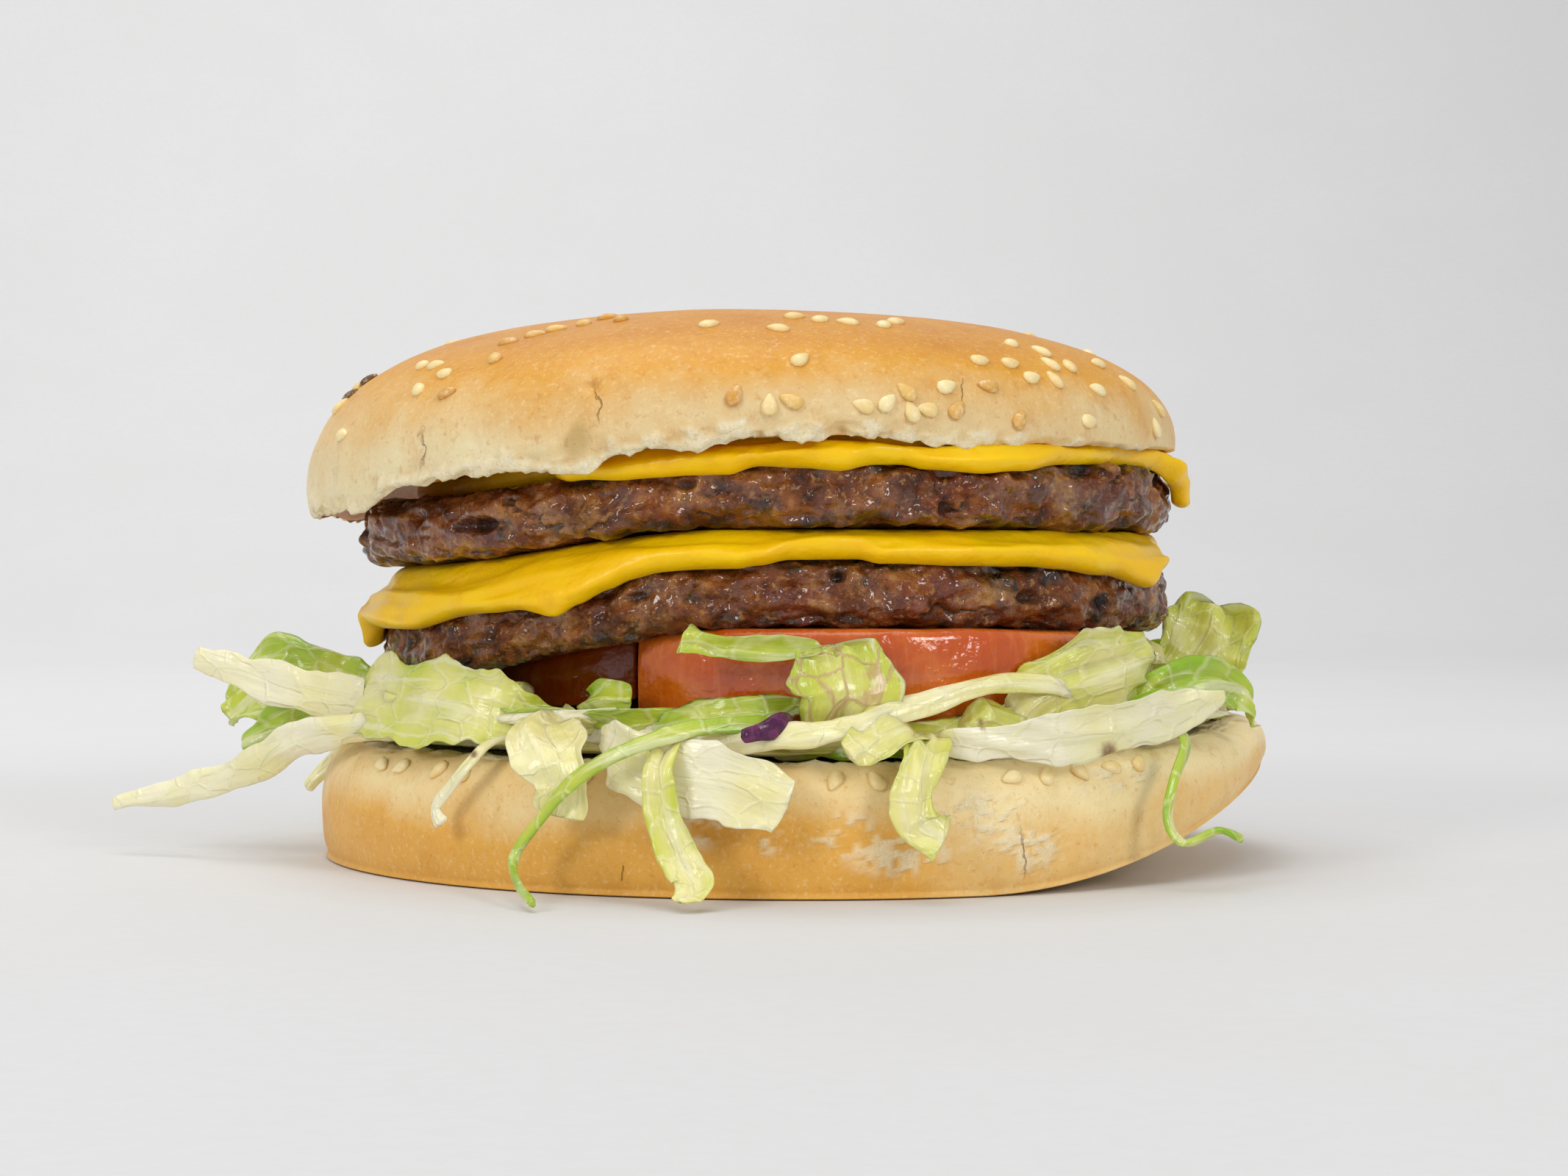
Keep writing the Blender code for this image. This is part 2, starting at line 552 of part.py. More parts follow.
def slice_mesh(centre, radius, bottom, thick, cut_x, keep_right, tilt):
    """A round slice cut off along a straight line at the given x, sloping by the tilt."""
    mesh = bmesh.new()
    bmesh.ops.create_cone(mesh, cap_ends=True, segments=36, radius1=radius, radius2=radius, depth=thick)
    bmesh.ops.translate(mesh, vec=(*centre, bottom + thick / 2), verts=mesh.verts)
    side = -1 if keep_right else 1
    everything = mesh.verts[:] + mesh.edges[:] + mesh.faces[:]
    cut = bmesh.ops.bisect_plane(
        mesh, geom=everything, plane_co=(cut_x, 0, 0), plane_no=(side, 0, 0), clear_outer=True
    )
    border = [piece for piece in cut["geom_cut"] if isinstance(piece, bmesh.types.BMEdge)]
    bmesh.ops.edgeloop_fill(mesh, edges=border)
    for vert in mesh.verts:
        vert.co.z += tilt * (vert.co.x - cut_x)
    return mesh


def make_tomatoes(finish):
    slices = (
        ("tomato_front", TOMATO_CENTRE, TOMATO_RADIUS, TOMATO_BOTTOM, TOMATO_THICK,
         TOMATO_CUT_X, True, TOMATO_TILT),
        ("tomato_back", BACK_TOMATO_CENTRE, BACK_TOMATO_RADIUS, BACK_TOMATO_BOTTOM, BACK_TOMATO_THICK,
         TOMATO_CUT_X - 1, False, BACK_TOMATO_TILT),
    )
    for name, *sizes in slices:
        made = object_from(name, slice_mesh(*sizes), finish)
        rounding = made.modifiers.new("rounding", "BEVEL")
        rounding.width = TOMATO_ROUNDING * MM
        rounding.segments = 1
        rounding.limit_method = "ANGLE"


def core_point(ring, degrees):
    """The heap's packed bed on the heel's cut face, wavy round its edge."""
    share, level = BED_SECTION[ring]
    turn = math.radians(degrees)
    wide = BED_RADIUS + 1.3 * lump(math.cos(turn), math.sin(turn), level, 0.18, 8)
    x = share * wide * math.cos(turn)
    y = share * wide * math.sin(turn)
    return Vector((x, y, HEEL_HEIGHT + GAP + heel_lift(x, 1) + BED_THICK * level))


def from_polar(degrees, away, height):
    turn = math.radians(degrees)
    return Vector((away * math.cos(turn), away * math.sin(turn), height))


def shred(path, widths, across, wavy, which, thick):
    """One thin wavy strip. Both its faces are split into triangles alike."""
    points = [from_polar(*point) for point in path]
    columns = 3 if max(widths) > 5.5 else 2
    stations = round(1.4 * (len(points) - 1)) + 1
    mesh = bmesh.new()
    faces = ([], [])
    for station in range(stations):
        share = station / (stations - 1)
        here = through(points, share)
        ahead = through(points, min(share + 0.02, 1)) - through(points, max(share - 0.02, 0))
        outward = Vector((here.x, here.y, 0)).normalized()
        leftward = Vector((outward.y, -outward.x, 0))
        side = across[0] * leftward + across[1] * outward + Vector((0, 0, across[2]))
        side = (side - side.project(ahead)).normalized()
        normal = ahead.cross(side).normalized()
        width = max(through(widths, share), 0.8)
        rows = ([], [])
        for column in range(columns):
            v = column / (columns - 1) - 0.5
            ruffle = wavy * lump(here.x, here.y, 4 * v, 6.5, which) * abs(v) * 2
            place = here + side * (v * width) + normal * ruffle
            for face, sign in ((0, 1), (1, -1)):
                rows[face].append(mesh.verts.new(place + normal * (sign * thick / 2)))
        faces[0].append(rows[0])
        faces[1].append(rows[1])
    for rows, flip in zip(faces, (False, True)):
        for near, far in zip(rows, rows[1:]):
            for column in range(columns - 1):
                a, b, c, d = near[column], near[column + 1], far[column + 1], far[column]
                for corner in ((a, b, c), (a, c, d)):
                    mesh.faces.new(corner[::-1] if flip else corner)
    top, bottom = faces
    for station in range(stations - 1):
        for column in (0, columns - 1):
            a, b = top[station][column], top[station + 1][column]
            c, d = bottom[station + 1][column], bottom[station][column]
            mesh.faces.new((a, b, c))
            mesh.faces.new((a, c, d))
    for end in (0, stations - 1):
        for column in range(columns - 1):
            a, b = top[end][column], top[end][column + 1]
            c, d = bottom[end][column + 1], bottom[end][column]
            mesh.faces.new((a, b, c))
            mesh.faces.new((a, c, d))
    return object_from("shred", mesh, None)


def make_lettuce(finish):
    """The bed, the packed leaves and every shred that shows, all in one piece."""
    heap = round_body("lettuce_heap", len(BED_SECTION) - 1, core_point, finish)
    pieces = [shred(*PACKED, len(SHREDS), PACKED_THICK)]
    for which, (_name, path, widths, across, wavy) in enumerate(SHREDS):
        pieces.append(shred(path, widths, across, wavy, which, SHRED_THICK))
    fuse(heap, pieces)


def main():
    for old in list(bpy.data.objects):
        bpy.data.objects.remove(old)
    crust = material("baked bun crust", (0.62, 0.36, 0.12), 0.6)
    beef = material("seared ground beef", (0.12, 0.045, 0.02), 0.35)
    cheese = material("melted processed cheese", (0.89, 0.47, 0.01), 0.3)
    tomato = material("ripe tomato", (0.53, 0.07, 0.01), 0.15)
    lettuce = material("iceberg lettuce", (0.63, 0.63, 0.3), 0.35)
    make_heel(crust)
    make_lettuce(lettuce)
    make_tomatoes(tomato)
    lower = (LOWER_X, LOWER_RADIUS, LOWER_MIDDLE, LOWER_HALF, lower_sag, 2)
    upper = (UPPER_X, UPPER_RADIUS, UPPER_MIDDLE, UPPER_HALF, upper_sag, 1)
    make_patty("patty_lower", *lower, beef)
    make_cheese("cheese_lower", *lower, LOWER_CHEESE_HANG, CHEESE_THICK, fold_rise, cheese)
    make_patty("patty_upper", *upper, beef)
    make_cheese("cheese_upper", *upper, UPPER_CHEESE_HANG, UPPER_CHEESE_THICK, no_rise, cheese)
    make_crown(crust)


main()
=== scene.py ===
# %% [markdown]
# # A double cheeseburger, dressed for its portrait
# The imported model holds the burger's plain solids: two bun halves, two patties, two cheese slices,
# two tomato slices and a heap of lettuce. Here each one gets a finer skin of the same form, and a
# finish made of nodes. Everything stands in metres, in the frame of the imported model, and the
# burger faces -Y.

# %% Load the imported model
import math
import random

import bpy
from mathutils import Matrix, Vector, noise


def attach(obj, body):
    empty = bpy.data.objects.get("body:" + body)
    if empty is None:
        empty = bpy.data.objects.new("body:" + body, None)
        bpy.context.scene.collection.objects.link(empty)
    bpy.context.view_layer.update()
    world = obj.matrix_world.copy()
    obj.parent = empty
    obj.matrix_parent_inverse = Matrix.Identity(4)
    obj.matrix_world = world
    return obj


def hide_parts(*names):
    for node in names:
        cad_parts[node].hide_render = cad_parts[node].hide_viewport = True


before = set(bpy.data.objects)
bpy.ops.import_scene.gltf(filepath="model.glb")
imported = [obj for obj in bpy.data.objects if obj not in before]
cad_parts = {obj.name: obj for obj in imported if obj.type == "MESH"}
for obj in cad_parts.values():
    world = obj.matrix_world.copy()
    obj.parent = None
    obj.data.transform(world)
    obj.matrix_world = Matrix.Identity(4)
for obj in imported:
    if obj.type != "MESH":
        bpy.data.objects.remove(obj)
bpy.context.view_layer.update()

print("solids:", sorted(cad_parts))

# %% [markdown]
# ## The camera
# The photograph was taken with a short telephoto lens, level with the burger's middle. The place of
# the horizon gives the small downward tilt, and the size of a sesame seed gives the distance.

# %% Camera
MM = 0.001
PHOTO_WIDTH = 2133
FOCAL_PIXELS = 4183
HORIZON_PIXELS_UP = 37.5
SENSOR_WIDTH = 36.0

lens = bpy.data.cameras.new("camera")
lens.sensor_width = SENSOR_WIDTH
lens.lens = SENSOR_WIDTH * FOCAL_PIXELS / PHOTO_WIDTH
camera = bpy.data.objects.new("camera", lens)
camera.location = (-1.6 * MM, -435 * MM, 41 * MM)
camera.rotation_euler = (math.pi / 2 - math.atan(HORIZON_PIXELS_UP / FOCAL_PIXELS), 0, 0)
bpy.context.scene.collection.objects.link(camera)
bpy.context.scene.camera = camera
print(f"lens {lens.lens:.1f} mm")

# %% [markdown]
# ## Nodes and colours
# A colour is picked on screen as an sRGB hex value, but the shader counts light, so one function
# turns it linear. One more adds a node with its settings and links, and hands back its output. Every
# material reads the place on the burger in millimetres, so that a texture's scale is one over its
# real size. Food is never one colour, so a third function lays soft patches over a colour.

# %% Node helpers
def linear(code):
    """An sRGB hex colour as the linear colour that a shader takes."""
    parts = [int(code[spot:spot + 2], 16) / 255 for spot in (1, 3, 5)]
    return (*(part / 12.92 if part <= 0.04045 else ((part + 0.055) / 1.055) ** 2.4 for part in parts), 1)


def add(tree, kind, inputs=None, out=0, stops=(), **settings):
    """Adds a node, with values or other nodes' outputs for its inputs, and gives its output."""
    made = tree.nodes.new("ShaderNode" + kind)
    for name, value in settings.items():
        setattr(made, name, value)
    for name, value in (inputs or {}).items():
        if isinstance(value, bpy.types.NodeSocket):
            tree.links.new(value, made.inputs[name])
        else:
            made.inputs[name].default_value = value
    for spot, (position, code) in enumerate(stops):
        while len(made.color_ramp.elements) <= spot:
            made.color_ramp.elements.new(1)
        made.color_ramp.elements[spot].position = position
        made.color_ramp.elements[spot].color = linear(code)
    return made.outputs[out]


def start_material(name, sockets):
    """A material with these values on its shader, its tree, the shader and the place in millimetres."""
    made = bpy.data.materials.new(name)
    made.use_nodes = True
    tree = made.node_tree
    shader = tree.nodes["Principled BSDF"]
    for socket, value in sockets.items():
        shader.inputs[socket].default_value = value
    place = add(tree, "TexCoord", out="Object")
    mm = add(tree, "Mapping", {"Vector": place, "Scale": (1 / MM, 1 / MM, 1 / MM)})
    print("material:", name)
    return made, tree, shader, mm


def patched(tree, mm, color, *patches):
    """Lays patches on a colour: (size in mm, noise where they start and are full, strength, hex)."""
    for size, start, full, strength, code in patches:
        cloud = add(tree, "TexNoise", {"Vector": mm, "Scale": 1 / size, "Detail": 4, "Roughness": 0.65})
        span = {"Value": cloud, "From Min": start, "From Max": full, "To Max": strength}
        where = add(tree, "MapRange", span, interpolation_type="SMOOTHSTEP")
        color = add(tree, "Mix", {0: where, 6: color, 7: linear(code)}, 2, data_type="RGBA")
    return color

# %% [markdown]
# ## Studio
# A pale floor that curves up behind gives the photograph's seamless ground. It starts as a plane,
# whose back edge is extruded upwards and bevelled round. The light is a bright, even room, with a
# large soft panel above and two smaller ones in front, which give the grease its highlights. A
# fourth panel lights the ground behind the burger. Matt paper mirrors nothing, so the ground shows
# soft shadows alone.

# %% Floor
FLOOR_HALF = 1.6
FLOOR_CURVE = 0.8
bpy.ops.object.select_all(action="DESELECT")
bpy.ops.mesh.primitive_plane_add(size=2 * FLOOR_HALF, location=(0, 0, 0))
floor = bpy.context.object
floor.name = "studio_floor"
bpy.ops.object.mode_set(mode="EDIT")
bpy.ops.mesh.select_mode(type="EDGE")
bpy.ops.mesh.select_all(action="DESELECT")
bpy.ops.object.mode_set(mode="OBJECT")
for edge in floor.data.edges:
    edge.select = all(floor.data.vertices[spot].co.y > 0 for spot in edge.vertices)
bpy.ops.object.mode_set(mode="EDIT")
bpy.ops.mesh.extrude_region_move(TRANSFORM_OT_translate={"value": (0, 0, FLOOR_HALF)})
bpy.ops.mesh.select_all(action="DESELECT")
bpy.ops.object.mode_set(mode="OBJECT")
for edge in floor.data.edges:
    ends = [floor.data.vertices[spot].co for spot in edge.vertices]
    edge.select = all(end.y > 0 and end.z < MM for end in ends)
bpy.ops.object.mode_set(mode="EDIT")
bpy.ops.mesh.bevel(offset=FLOOR_CURVE, segments=24, affect="EDGES")
bpy.ops.object.mode_set(mode="OBJECT")
bpy.ops.object.shade_smooth()
print("floor:", len(floor.data.polygons), "faces")

# %% Floor material
paper, tree, shader, mm = start_material("matt white paper", {"Roughness": 0.7})
sheet = patched(tree, mm, linear("#DCDCDD"), (160, 0.4, 0.6, 0.6, "#DAD9D8"),
                (3, 0.4, 0.6, 0.3, "#D8D7D5"))
tree.links.new(sheet, shader.inputs["Base Color"])
floor.data.materials.append(paper)


# %% Lights
def panel(name, place, aim, size, power):
    """A square area light, which faces the place it is aimed at."""
    lamp = bpy.data.lights.new(name, "AREA")
    lamp.size = size
    lamp.energy = power
    made = bpy.data.objects.new(name, lamp)
    made.location = place
    made.rotation_euler = (Vector(aim) - Vector(place)).to_track_quat("-Z", "Y").to_euler()
    bpy.context.scene.collection.objects.link(made)
    print(f"{name}: {power} W")


BURGER = (0, 0, 0.035)
panel("overhead", (-0.1, -0.25, 1.1), BURGER, 0.9, 3.7)
panel("front_left", (-0.75, -0.85, 0.55), BURGER, 0.32, 3.5)
panel("front_right", (0.7, -0.9, 0.5), BURGER, 0.32, 3.6)
panel("backdrop", (-0.3, 0.45, 1.2), (-0.5, 1.4, 0.2), 0.8, 8.8)
room = bpy.data.worlds.new("bright room")
room.use_nodes = True
room.node_tree.nodes["Background"].inputs["Color"].default_value = linear("#F2F2F3")
room.node_tree.nodes["Background"].inputs["Strength"].default_value = 0.52
bpy.context.scene.world = room
bpy.context.scene.view_settings.view_transform = "Standard"

# %% [markdown]
# ## Shaping food
# Food has no straight lines, so every skin here starts as a flat grid. The grid is rolled into a
# tube, its ends are drawn together, and each of its points moves to where a small formula says, as
# clay is pushed on a wheel. The formulas repeat those of the solids, and add what their few
# triangles leave out. The same formulas also mark each point, for instance with how well it is
# baked, and the materials read those marks.


# %% Shaping helpers
def ease(share):
    """Rises smoothly from 0 to 1 as the share does, and stays there on either side."""
    share = min(max(share, 0.0), 1.0)
    return share * share * (3 - 2 * share)


def blend(low, high, share):
    """The value at a share of the way from low to high."""
    return low + (high - low) * share


def lump(x, y, z, size, which):
    """Smooth unevenness from about -1 to 1, with lumps of a size in millimetres. Which picks a field."""
    return noise.noise(Vector((x / size + 11.7 * which, y / size - 5.3 * which, z / size + 3.1)))


def around_table(table, degrees):
    """The smooth value of a table of (degrees, value) that closes on itself."""
    degrees %= 360
    for (start, first), (end, second) in zip(table, table[1:] + ((table[0][0] + 360, table[0][1]),)):
        if start <= degrees <= end:
            return blend(first, second, ease((degrees - start) / (end - start)))
    return table[0][1]


def through(points, share):
    """The point or number at a share of the way along a smooth line through the given ones."""
    spans = len(points) - 1
    spot = min(int(share * spans), spans - 1)
    t = share * spans - spot
    before, start, end, after = (points[min(max(spot + step, 0), spans)] for step in (-1, 0, 1, 2))
    return 0.5 * (
        2 * start + (end - before) * t + (2 * before - 5 * start + 4 * end - after) * t * t
        + (3 * start - before - 3 * end + after) * t**3
    )


# %% Skins
# Points that are closer than this are one point.
MERGE = 0.002 * MM


def rolled(name, point, marks, around, rows):
    """A closed skin from a grid: point(turn, level) gives each place in millimetres and its marks."""
    bpy.ops.object.select_all(action="DESELECT")
    bpy.ops.mesh.primitive_grid_add(x_subdivisions=around, y_subdivisions=rows, size=2)
    made = bpy.context.object
    made.name = made.data.name = name
    found = []
    for vert in made.data.vertices:
        place, *values = point((vert.co.x + 1) / 2 % 1, (vert.co.y + 1) / 2)
        vert.co = place * MM
        found.append(values)
    for spot, mark in enumerate(marks):
        layer = made.data.attributes.new(mark, "FLOAT", "POINT")
        layer.data.foreach_set("value", [values[spot] for values in found])
    bpy.ops.object.mode_set(mode="EDIT")
    bpy.ops.mesh.select_all(action="SELECT")
    bpy.ops.mesh.remove_doubles(threshold=MERGE)
    bpy.ops.mesh.normals_make_consistent(inside=False)
    bpy.ops.object.mode_set(mode="OBJECT")
    bpy.ops.object.shade_smooth()
    return made


def joined(name, pieces):
    """Several skins as one piece."""
    bpy.ops.object.select_all(action="DESELECT")
    for piece in pieces:
        piece.select_set(True)
    bpy.context.view_layer.objects.active = pieces[0]
    if len(pieces) > 1:
        bpy.ops.object.join()
    pieces[0].name = pieces[0].data.name = name
    return pieces[0]


def dress(piece, finish, slot, *nodes):
    """Gives a finished piece its material and its body, and hides the solids that it stands for."""
    piece.data.materials.clear()
    piece.data.materials.append(finish)
    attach(piece, "root")
    if nodes:
        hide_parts(*nodes)
    piece.data.calc_loop_triangles()
    print(f"{piece.name}: {len(piece.data.loop_triangles)} triangles")


# %% [markdown]
# ## Baked crust
# A bun's crust is a thin browned skin over white crumb. It is pale where the buns touched in the
# oven and golden on top, never one colour: fine pale freckles, darker blushes and dry hair cracks.
# Torn crumb is matt and full of pores. One material does both, and the marks say which is where.

# %% Hair cracks
CRACK_WANDER = 1.6
CRACK_HALF = 0.15


def crack(tree, mm, x, bottom, top):
    """1 in a hair crack that wanders up the front at x, between two heights."""
    parts = add(tree, "SeparateXYZ", {"Vector": mm}).node.outputs
    wave = add(tree, "TexNoise", {"Vector": mm, "Scale": 0.6 / CRACK_WANDER, "Detail": 4})
    off = add(tree, "Math", {0: wave, 1: 2 * CRACK_WANDER, 2: parts[0]}, operation="MULTIPLY_ADD")
    off = add(tree, "Math", {0: off, 1: x + CRACK_WANDER}, operation="SUBTRACT")
    off = add(tree, "Math", {0: off}, operation="ABSOLUTE")
    up = add(tree, "Math", {0: parts[2], 1: (bottom + top) / 2}, operation="SUBTRACT")
    up = add(tree, "Math", {0: up}, operation="ABSOLUTE")
    line = 1.0
    # Each value, where the crack begins to show, and where it is full.
    limits = (off, CRACK_HALF, 0.03), (up, (top - bottom) / 2, 0.8), (parts[1], -20, -30)
    for value, outside, inside in limits:
        near = add(tree, "MapRange", {"Value": value, "From Min": outside, "From Max": inside})
        line = add(tree, "Math", {0: line, 1: near}, operation="MULTIPLY")
    return line


# %% Bun material
BUN_MARKS = ("bake", "crumb", "stain")


def bun_material(name, pale, gold, brown, cracks):
    """Crust that goes from pale through gold to brown by its mark, with torn crumb by another."""
    made, tree, shader, mm = start_material(name, {
        "Specular IOR Level": 0.3, "Subsurface Weight": 0.12, "Subsurface Scale": 1.5 * MM,
        "Subsurface Radius": (1.0, 0.6, 0.3)})
    bake, crumb, stain = (add(tree, "Attribute", out="Fac", attribute_name=mark) for mark in BUN_MARKS)
    blush = add(tree, "TexNoise", {"Vector": mm, "Scale": 1 / 9, "Detail": 4, "Roughness": 0.6})
    level = add(tree, "Math", {0: blush, 1: 0.5, 2: -0.25}, operation="MULTIPLY_ADD")
    level = add(tree, "Math", {0: bake, 1: level}, operation="ADD")
    crust = add(tree, "ValToRGB", {"Fac": level}, stops=((0, pale), (0.5, gold), (1, brown)))
    # Freckles of flour, then darker pinpricks and blushes.
    crust = patched(tree, mm, crust, (0.7, 0.52, 0.7, 0.3, "#F8E4B4"), (1.3, 0.56, 0.72, 0.35, brown),
                    (0.45, 0.6, 0.7, 0.3, "#B06A1C"), (5, 0.52, 0.7, 0.2, brown),
                    (1.6, 0.72, 0.76, 0.6, "#5A3212"))
    crust = add(tree, "Mix", {0: stain, 6: crust, 7: linear("#A08238")}, 2, data_type="RGBA")
    crumbs = patched(tree, mm, linear("#FAEAC2"), (1.1, 0.5, 0.68, 0.45, "#D9B470"),
                     (0.6, 0.5, 0.6, 0.6, "#FFF6DC"))
    color = add(tree, "Mix", {0: crumb, 6: crust, 7: crumbs}, 2, data_type="RGBA")
    split = 0.0
    for line in cracks:
        split = add(tree, "Math", {0: crack(tree, mm, *line), 1: split}, operation="MAXIMUM")
    # The cracks are painted darker brown, as painted shade inside them.
    crack_shade = add(tree, "Math", {0: split, 1: 0.45}, operation="MULTIPLY")
    color = add(tree, "Mix", {0: crack_shade, 6: color, 7: linear("#94642A")}, 2, data_type="RGBA")
    tree.links.new(color, shader.inputs["Base Color"])
    dull = add(tree, "Math", {0: crumb, 1: 0.3, 2: 0.45}, operation="MULTIPLY_ADD")
    tree.links.new(dull, shader.inputs["Roughness"])
    # Relief: soft dimples, pores in the torn crumb, and the cracks' depth.
    dimples = add(tree, "TexNoise", {"Vector": mm, "Scale": 1 / 2.4, "Detail": 5, "Roughness": 0.62})
    pores = add(tree, "TexNoise", {"Vector": mm, "Scale": 1 / 0.8, "Detail": 4, "Roughness": 0.75})
    pores = add(tree, "Math", {0: pores, 1: crumb}, operation="MULTIPLY")
    relief = add(tree, "Bump", {"Height": dimples, "Distance": 0.3 * MM})
    relief = add(tree, "Bump", {"Height": pores, "Distance": 0.55 * MM, "Normal": relief})
    relief = add(tree, "Bump", {"Height": split, "Distance": 0.35 * MM, "Normal": relief}, invert=True)
    tree.links.new(relief, shader.inputs["Normal"])
    return made


crown_crust = bun_material("baked milk bun crust", "#EADAAC", "#DD9F36", "#C07214",
                           ((-47.5, 52, 58.5), (-24.6, 57.5, 62.5), (20.5, 58.8, 64)))
heel_crust = bun_material("baked bun heel crust", "#F6E0A8", "#E8B050", "#CE8A2A",
                          ((27.5, 1.5, 9), (-21, 2, 4)))

# %% [markdown]
# ## The bun's crown
# The crown is a flat dome over a cut face that leans on the upper cheese. It could be a sculpted
# sphere, but a formula keeps it exactly on the solid: a superellipse gives the dome, and the lower
# edge hangs deeper at both ends. Its torn rim is the one ragged part, so noise in two sizes pulls
# nibs of crumb downwards there.

# %% Crown sizes
GAP = 0.4
CROWN_X = -7.6
CROWN_RADIUS = 60.7
CROWN_TOP = 75.3
CROWN_RIM = 58.4
CROWN_DROP_LEFT = 8.6
CROWN_DROP_RIGHT = 2.0
# The torn lip below the rim, as (x, height).
CROWN_LIP = (
    (-70, 47.3), (-58, 47.6), (-49, 51.2), (-38, 52.2), (-27, 52.2), (-22, 54.2), (-15, 54.8), (-5, 56.3),
    (12, 56.1), (22, 55.0), (32, 54.2), (60, 53.2),
)
UPPER_X = -3.5
UPPER_RADIUS = 57.5
UPPER_MIDDLE = 49.4
UPPER_HALF = 4.7
UPPER_CHEESE_THICK = 1.9
BOXY = 0.72
# How far the upper cheese hangs past the patty's shoulder, or stays short of it, at angles in degrees.
UPPER_CHEESE_HANG = (
    (0, 6), (6, 1), (25, -6), (45, -9), (70, 3), (88, 9), (105, 2), (135, -10), (160, -6), (180, -3),
    (200, -7), (235, -3), (244, 6), (252, 8.4), (265, 8.9), (269, 6.7), (274, 7.2), (279, 8.1), (284, 6),
    (287, 6), (290, 7.4), (297, 8.3), (304, 7.6), (314, 4), (330, 2), (341, 4), (346, 9), (352, 12.4),
    (356, 9.5),
)


# %% Crown form
def upper_sag(x):
    """The upper patty, its cheese and the crown's cut face droop over the left side."""
    return -4.5 * ease((-8 - x) / 44)


def patty_edge(radius, degrees, which):
    """A patty's outline is a little uneven, and the cheese over it has the same outline."""
    turn = math.radians(degrees)
    return radius * (0.988 + 0.018 * lump(math.cos(turn), math.sin(turn), 0, 0.8, which))


def crown_rim(x):
    """Height of the dome's rim, which comes down at both ends."""
    return CROWN_RIM - CROWN_DROP_LEFT * ease((-15 - x) / 50) - CROWN_DROP_RIGHT * ease((x - 5) / 40)


def crown_lip(x):
    """Height of the torn lip under the rim."""
    for (start, first), (end, second) in zip(CROWN_LIP, CROWN_LIP[1:]):
        if x <= end:
            return blend(first, second, ease((x - start) / (end - start)))
    return CROWN_LIP[-1][1]


def crown_dome(share, height_share, degrees):
    """A point of the crust at a share of the crown's radius and of its height over the rim."""
    turn = math.radians(degrees)
    wide = CROWN_RADIUS * (1 + 0.012 * lump(math.cos(turn), math.sin(turn), 0, 0.9, 3))
    rim = crown_rim(CROWN_X + wide * math.cos(turn))
    x = CROWN_X + share * wide * math.cos(turn)
    y = share * wide * math.sin(turn)
    z = rim + (CROWN_TOP - rim) * height_share + 0.5 * lump(x, y, 0, 22, 4) * min(1, 3 * (1 - share))
    return Vector((x, y, z))


def crown_under(share, degrees):
    """A point of the crown's cut face. It lies on the cheese, or on the patty where there is none."""
    turn = math.radians(degrees)
    rim = crown_dome(1, 0, degrees)
    x = blend(CROWN_X, rim.x, share)
    y = rim.y * share
    patty = math.degrees(math.atan2(y, x - UPPER_X))
    edge = patty_edge(UPPER_RADIUS, patty, 1)
    covered = ease((around_table(UPPER_CHEESE_HANG, patty) + 3) / 6)
    cover = (GAP + UPPER_CHEESE_THICK) * covered
    seat = UPPER_MIDDLE + UPPER_HALF + GAP + UPPER_CHEESE_THICK + upper_sag(x)
    lip = crown_lip(x) + 0.7 * lump(math.cos(turn), math.sin(turn), 0, 0.12, 5)
    z = blend(seat, lip, ease((share - 0.84) / 0.12))
    inside = (math.hypot(x - UPPER_X, y) - edge + UPPER_HALF) / (UPPER_HALF + cover)
    if inside < 0.97:
        shell = (1 - max(inside, 0) ** (2 / BOXY)) ** (BOXY / 2) * (UPPER_HALF + cover)
        z = max(z, UPPER_MIDDLE + upper_sag(x) + shell)
    return Vector((x, y, z))


# %% Crown
UNDER_END = 0.16
LIP_END = 0.28
LIP_SHARE = 0.975
TEAR_UP = 3.0
# The middle of an oily stain on the front, as (x, height), its radius and its strength.
STAIN = (-26.6, 55.8)
STAIN_RADIUS = 2.4
STAIN_SHADE = 0.42
# A small baked pit beside the middle crack, as (x, height, radius, depth).
PIT = (-25.2, 62.4, 1.2, 1.1)


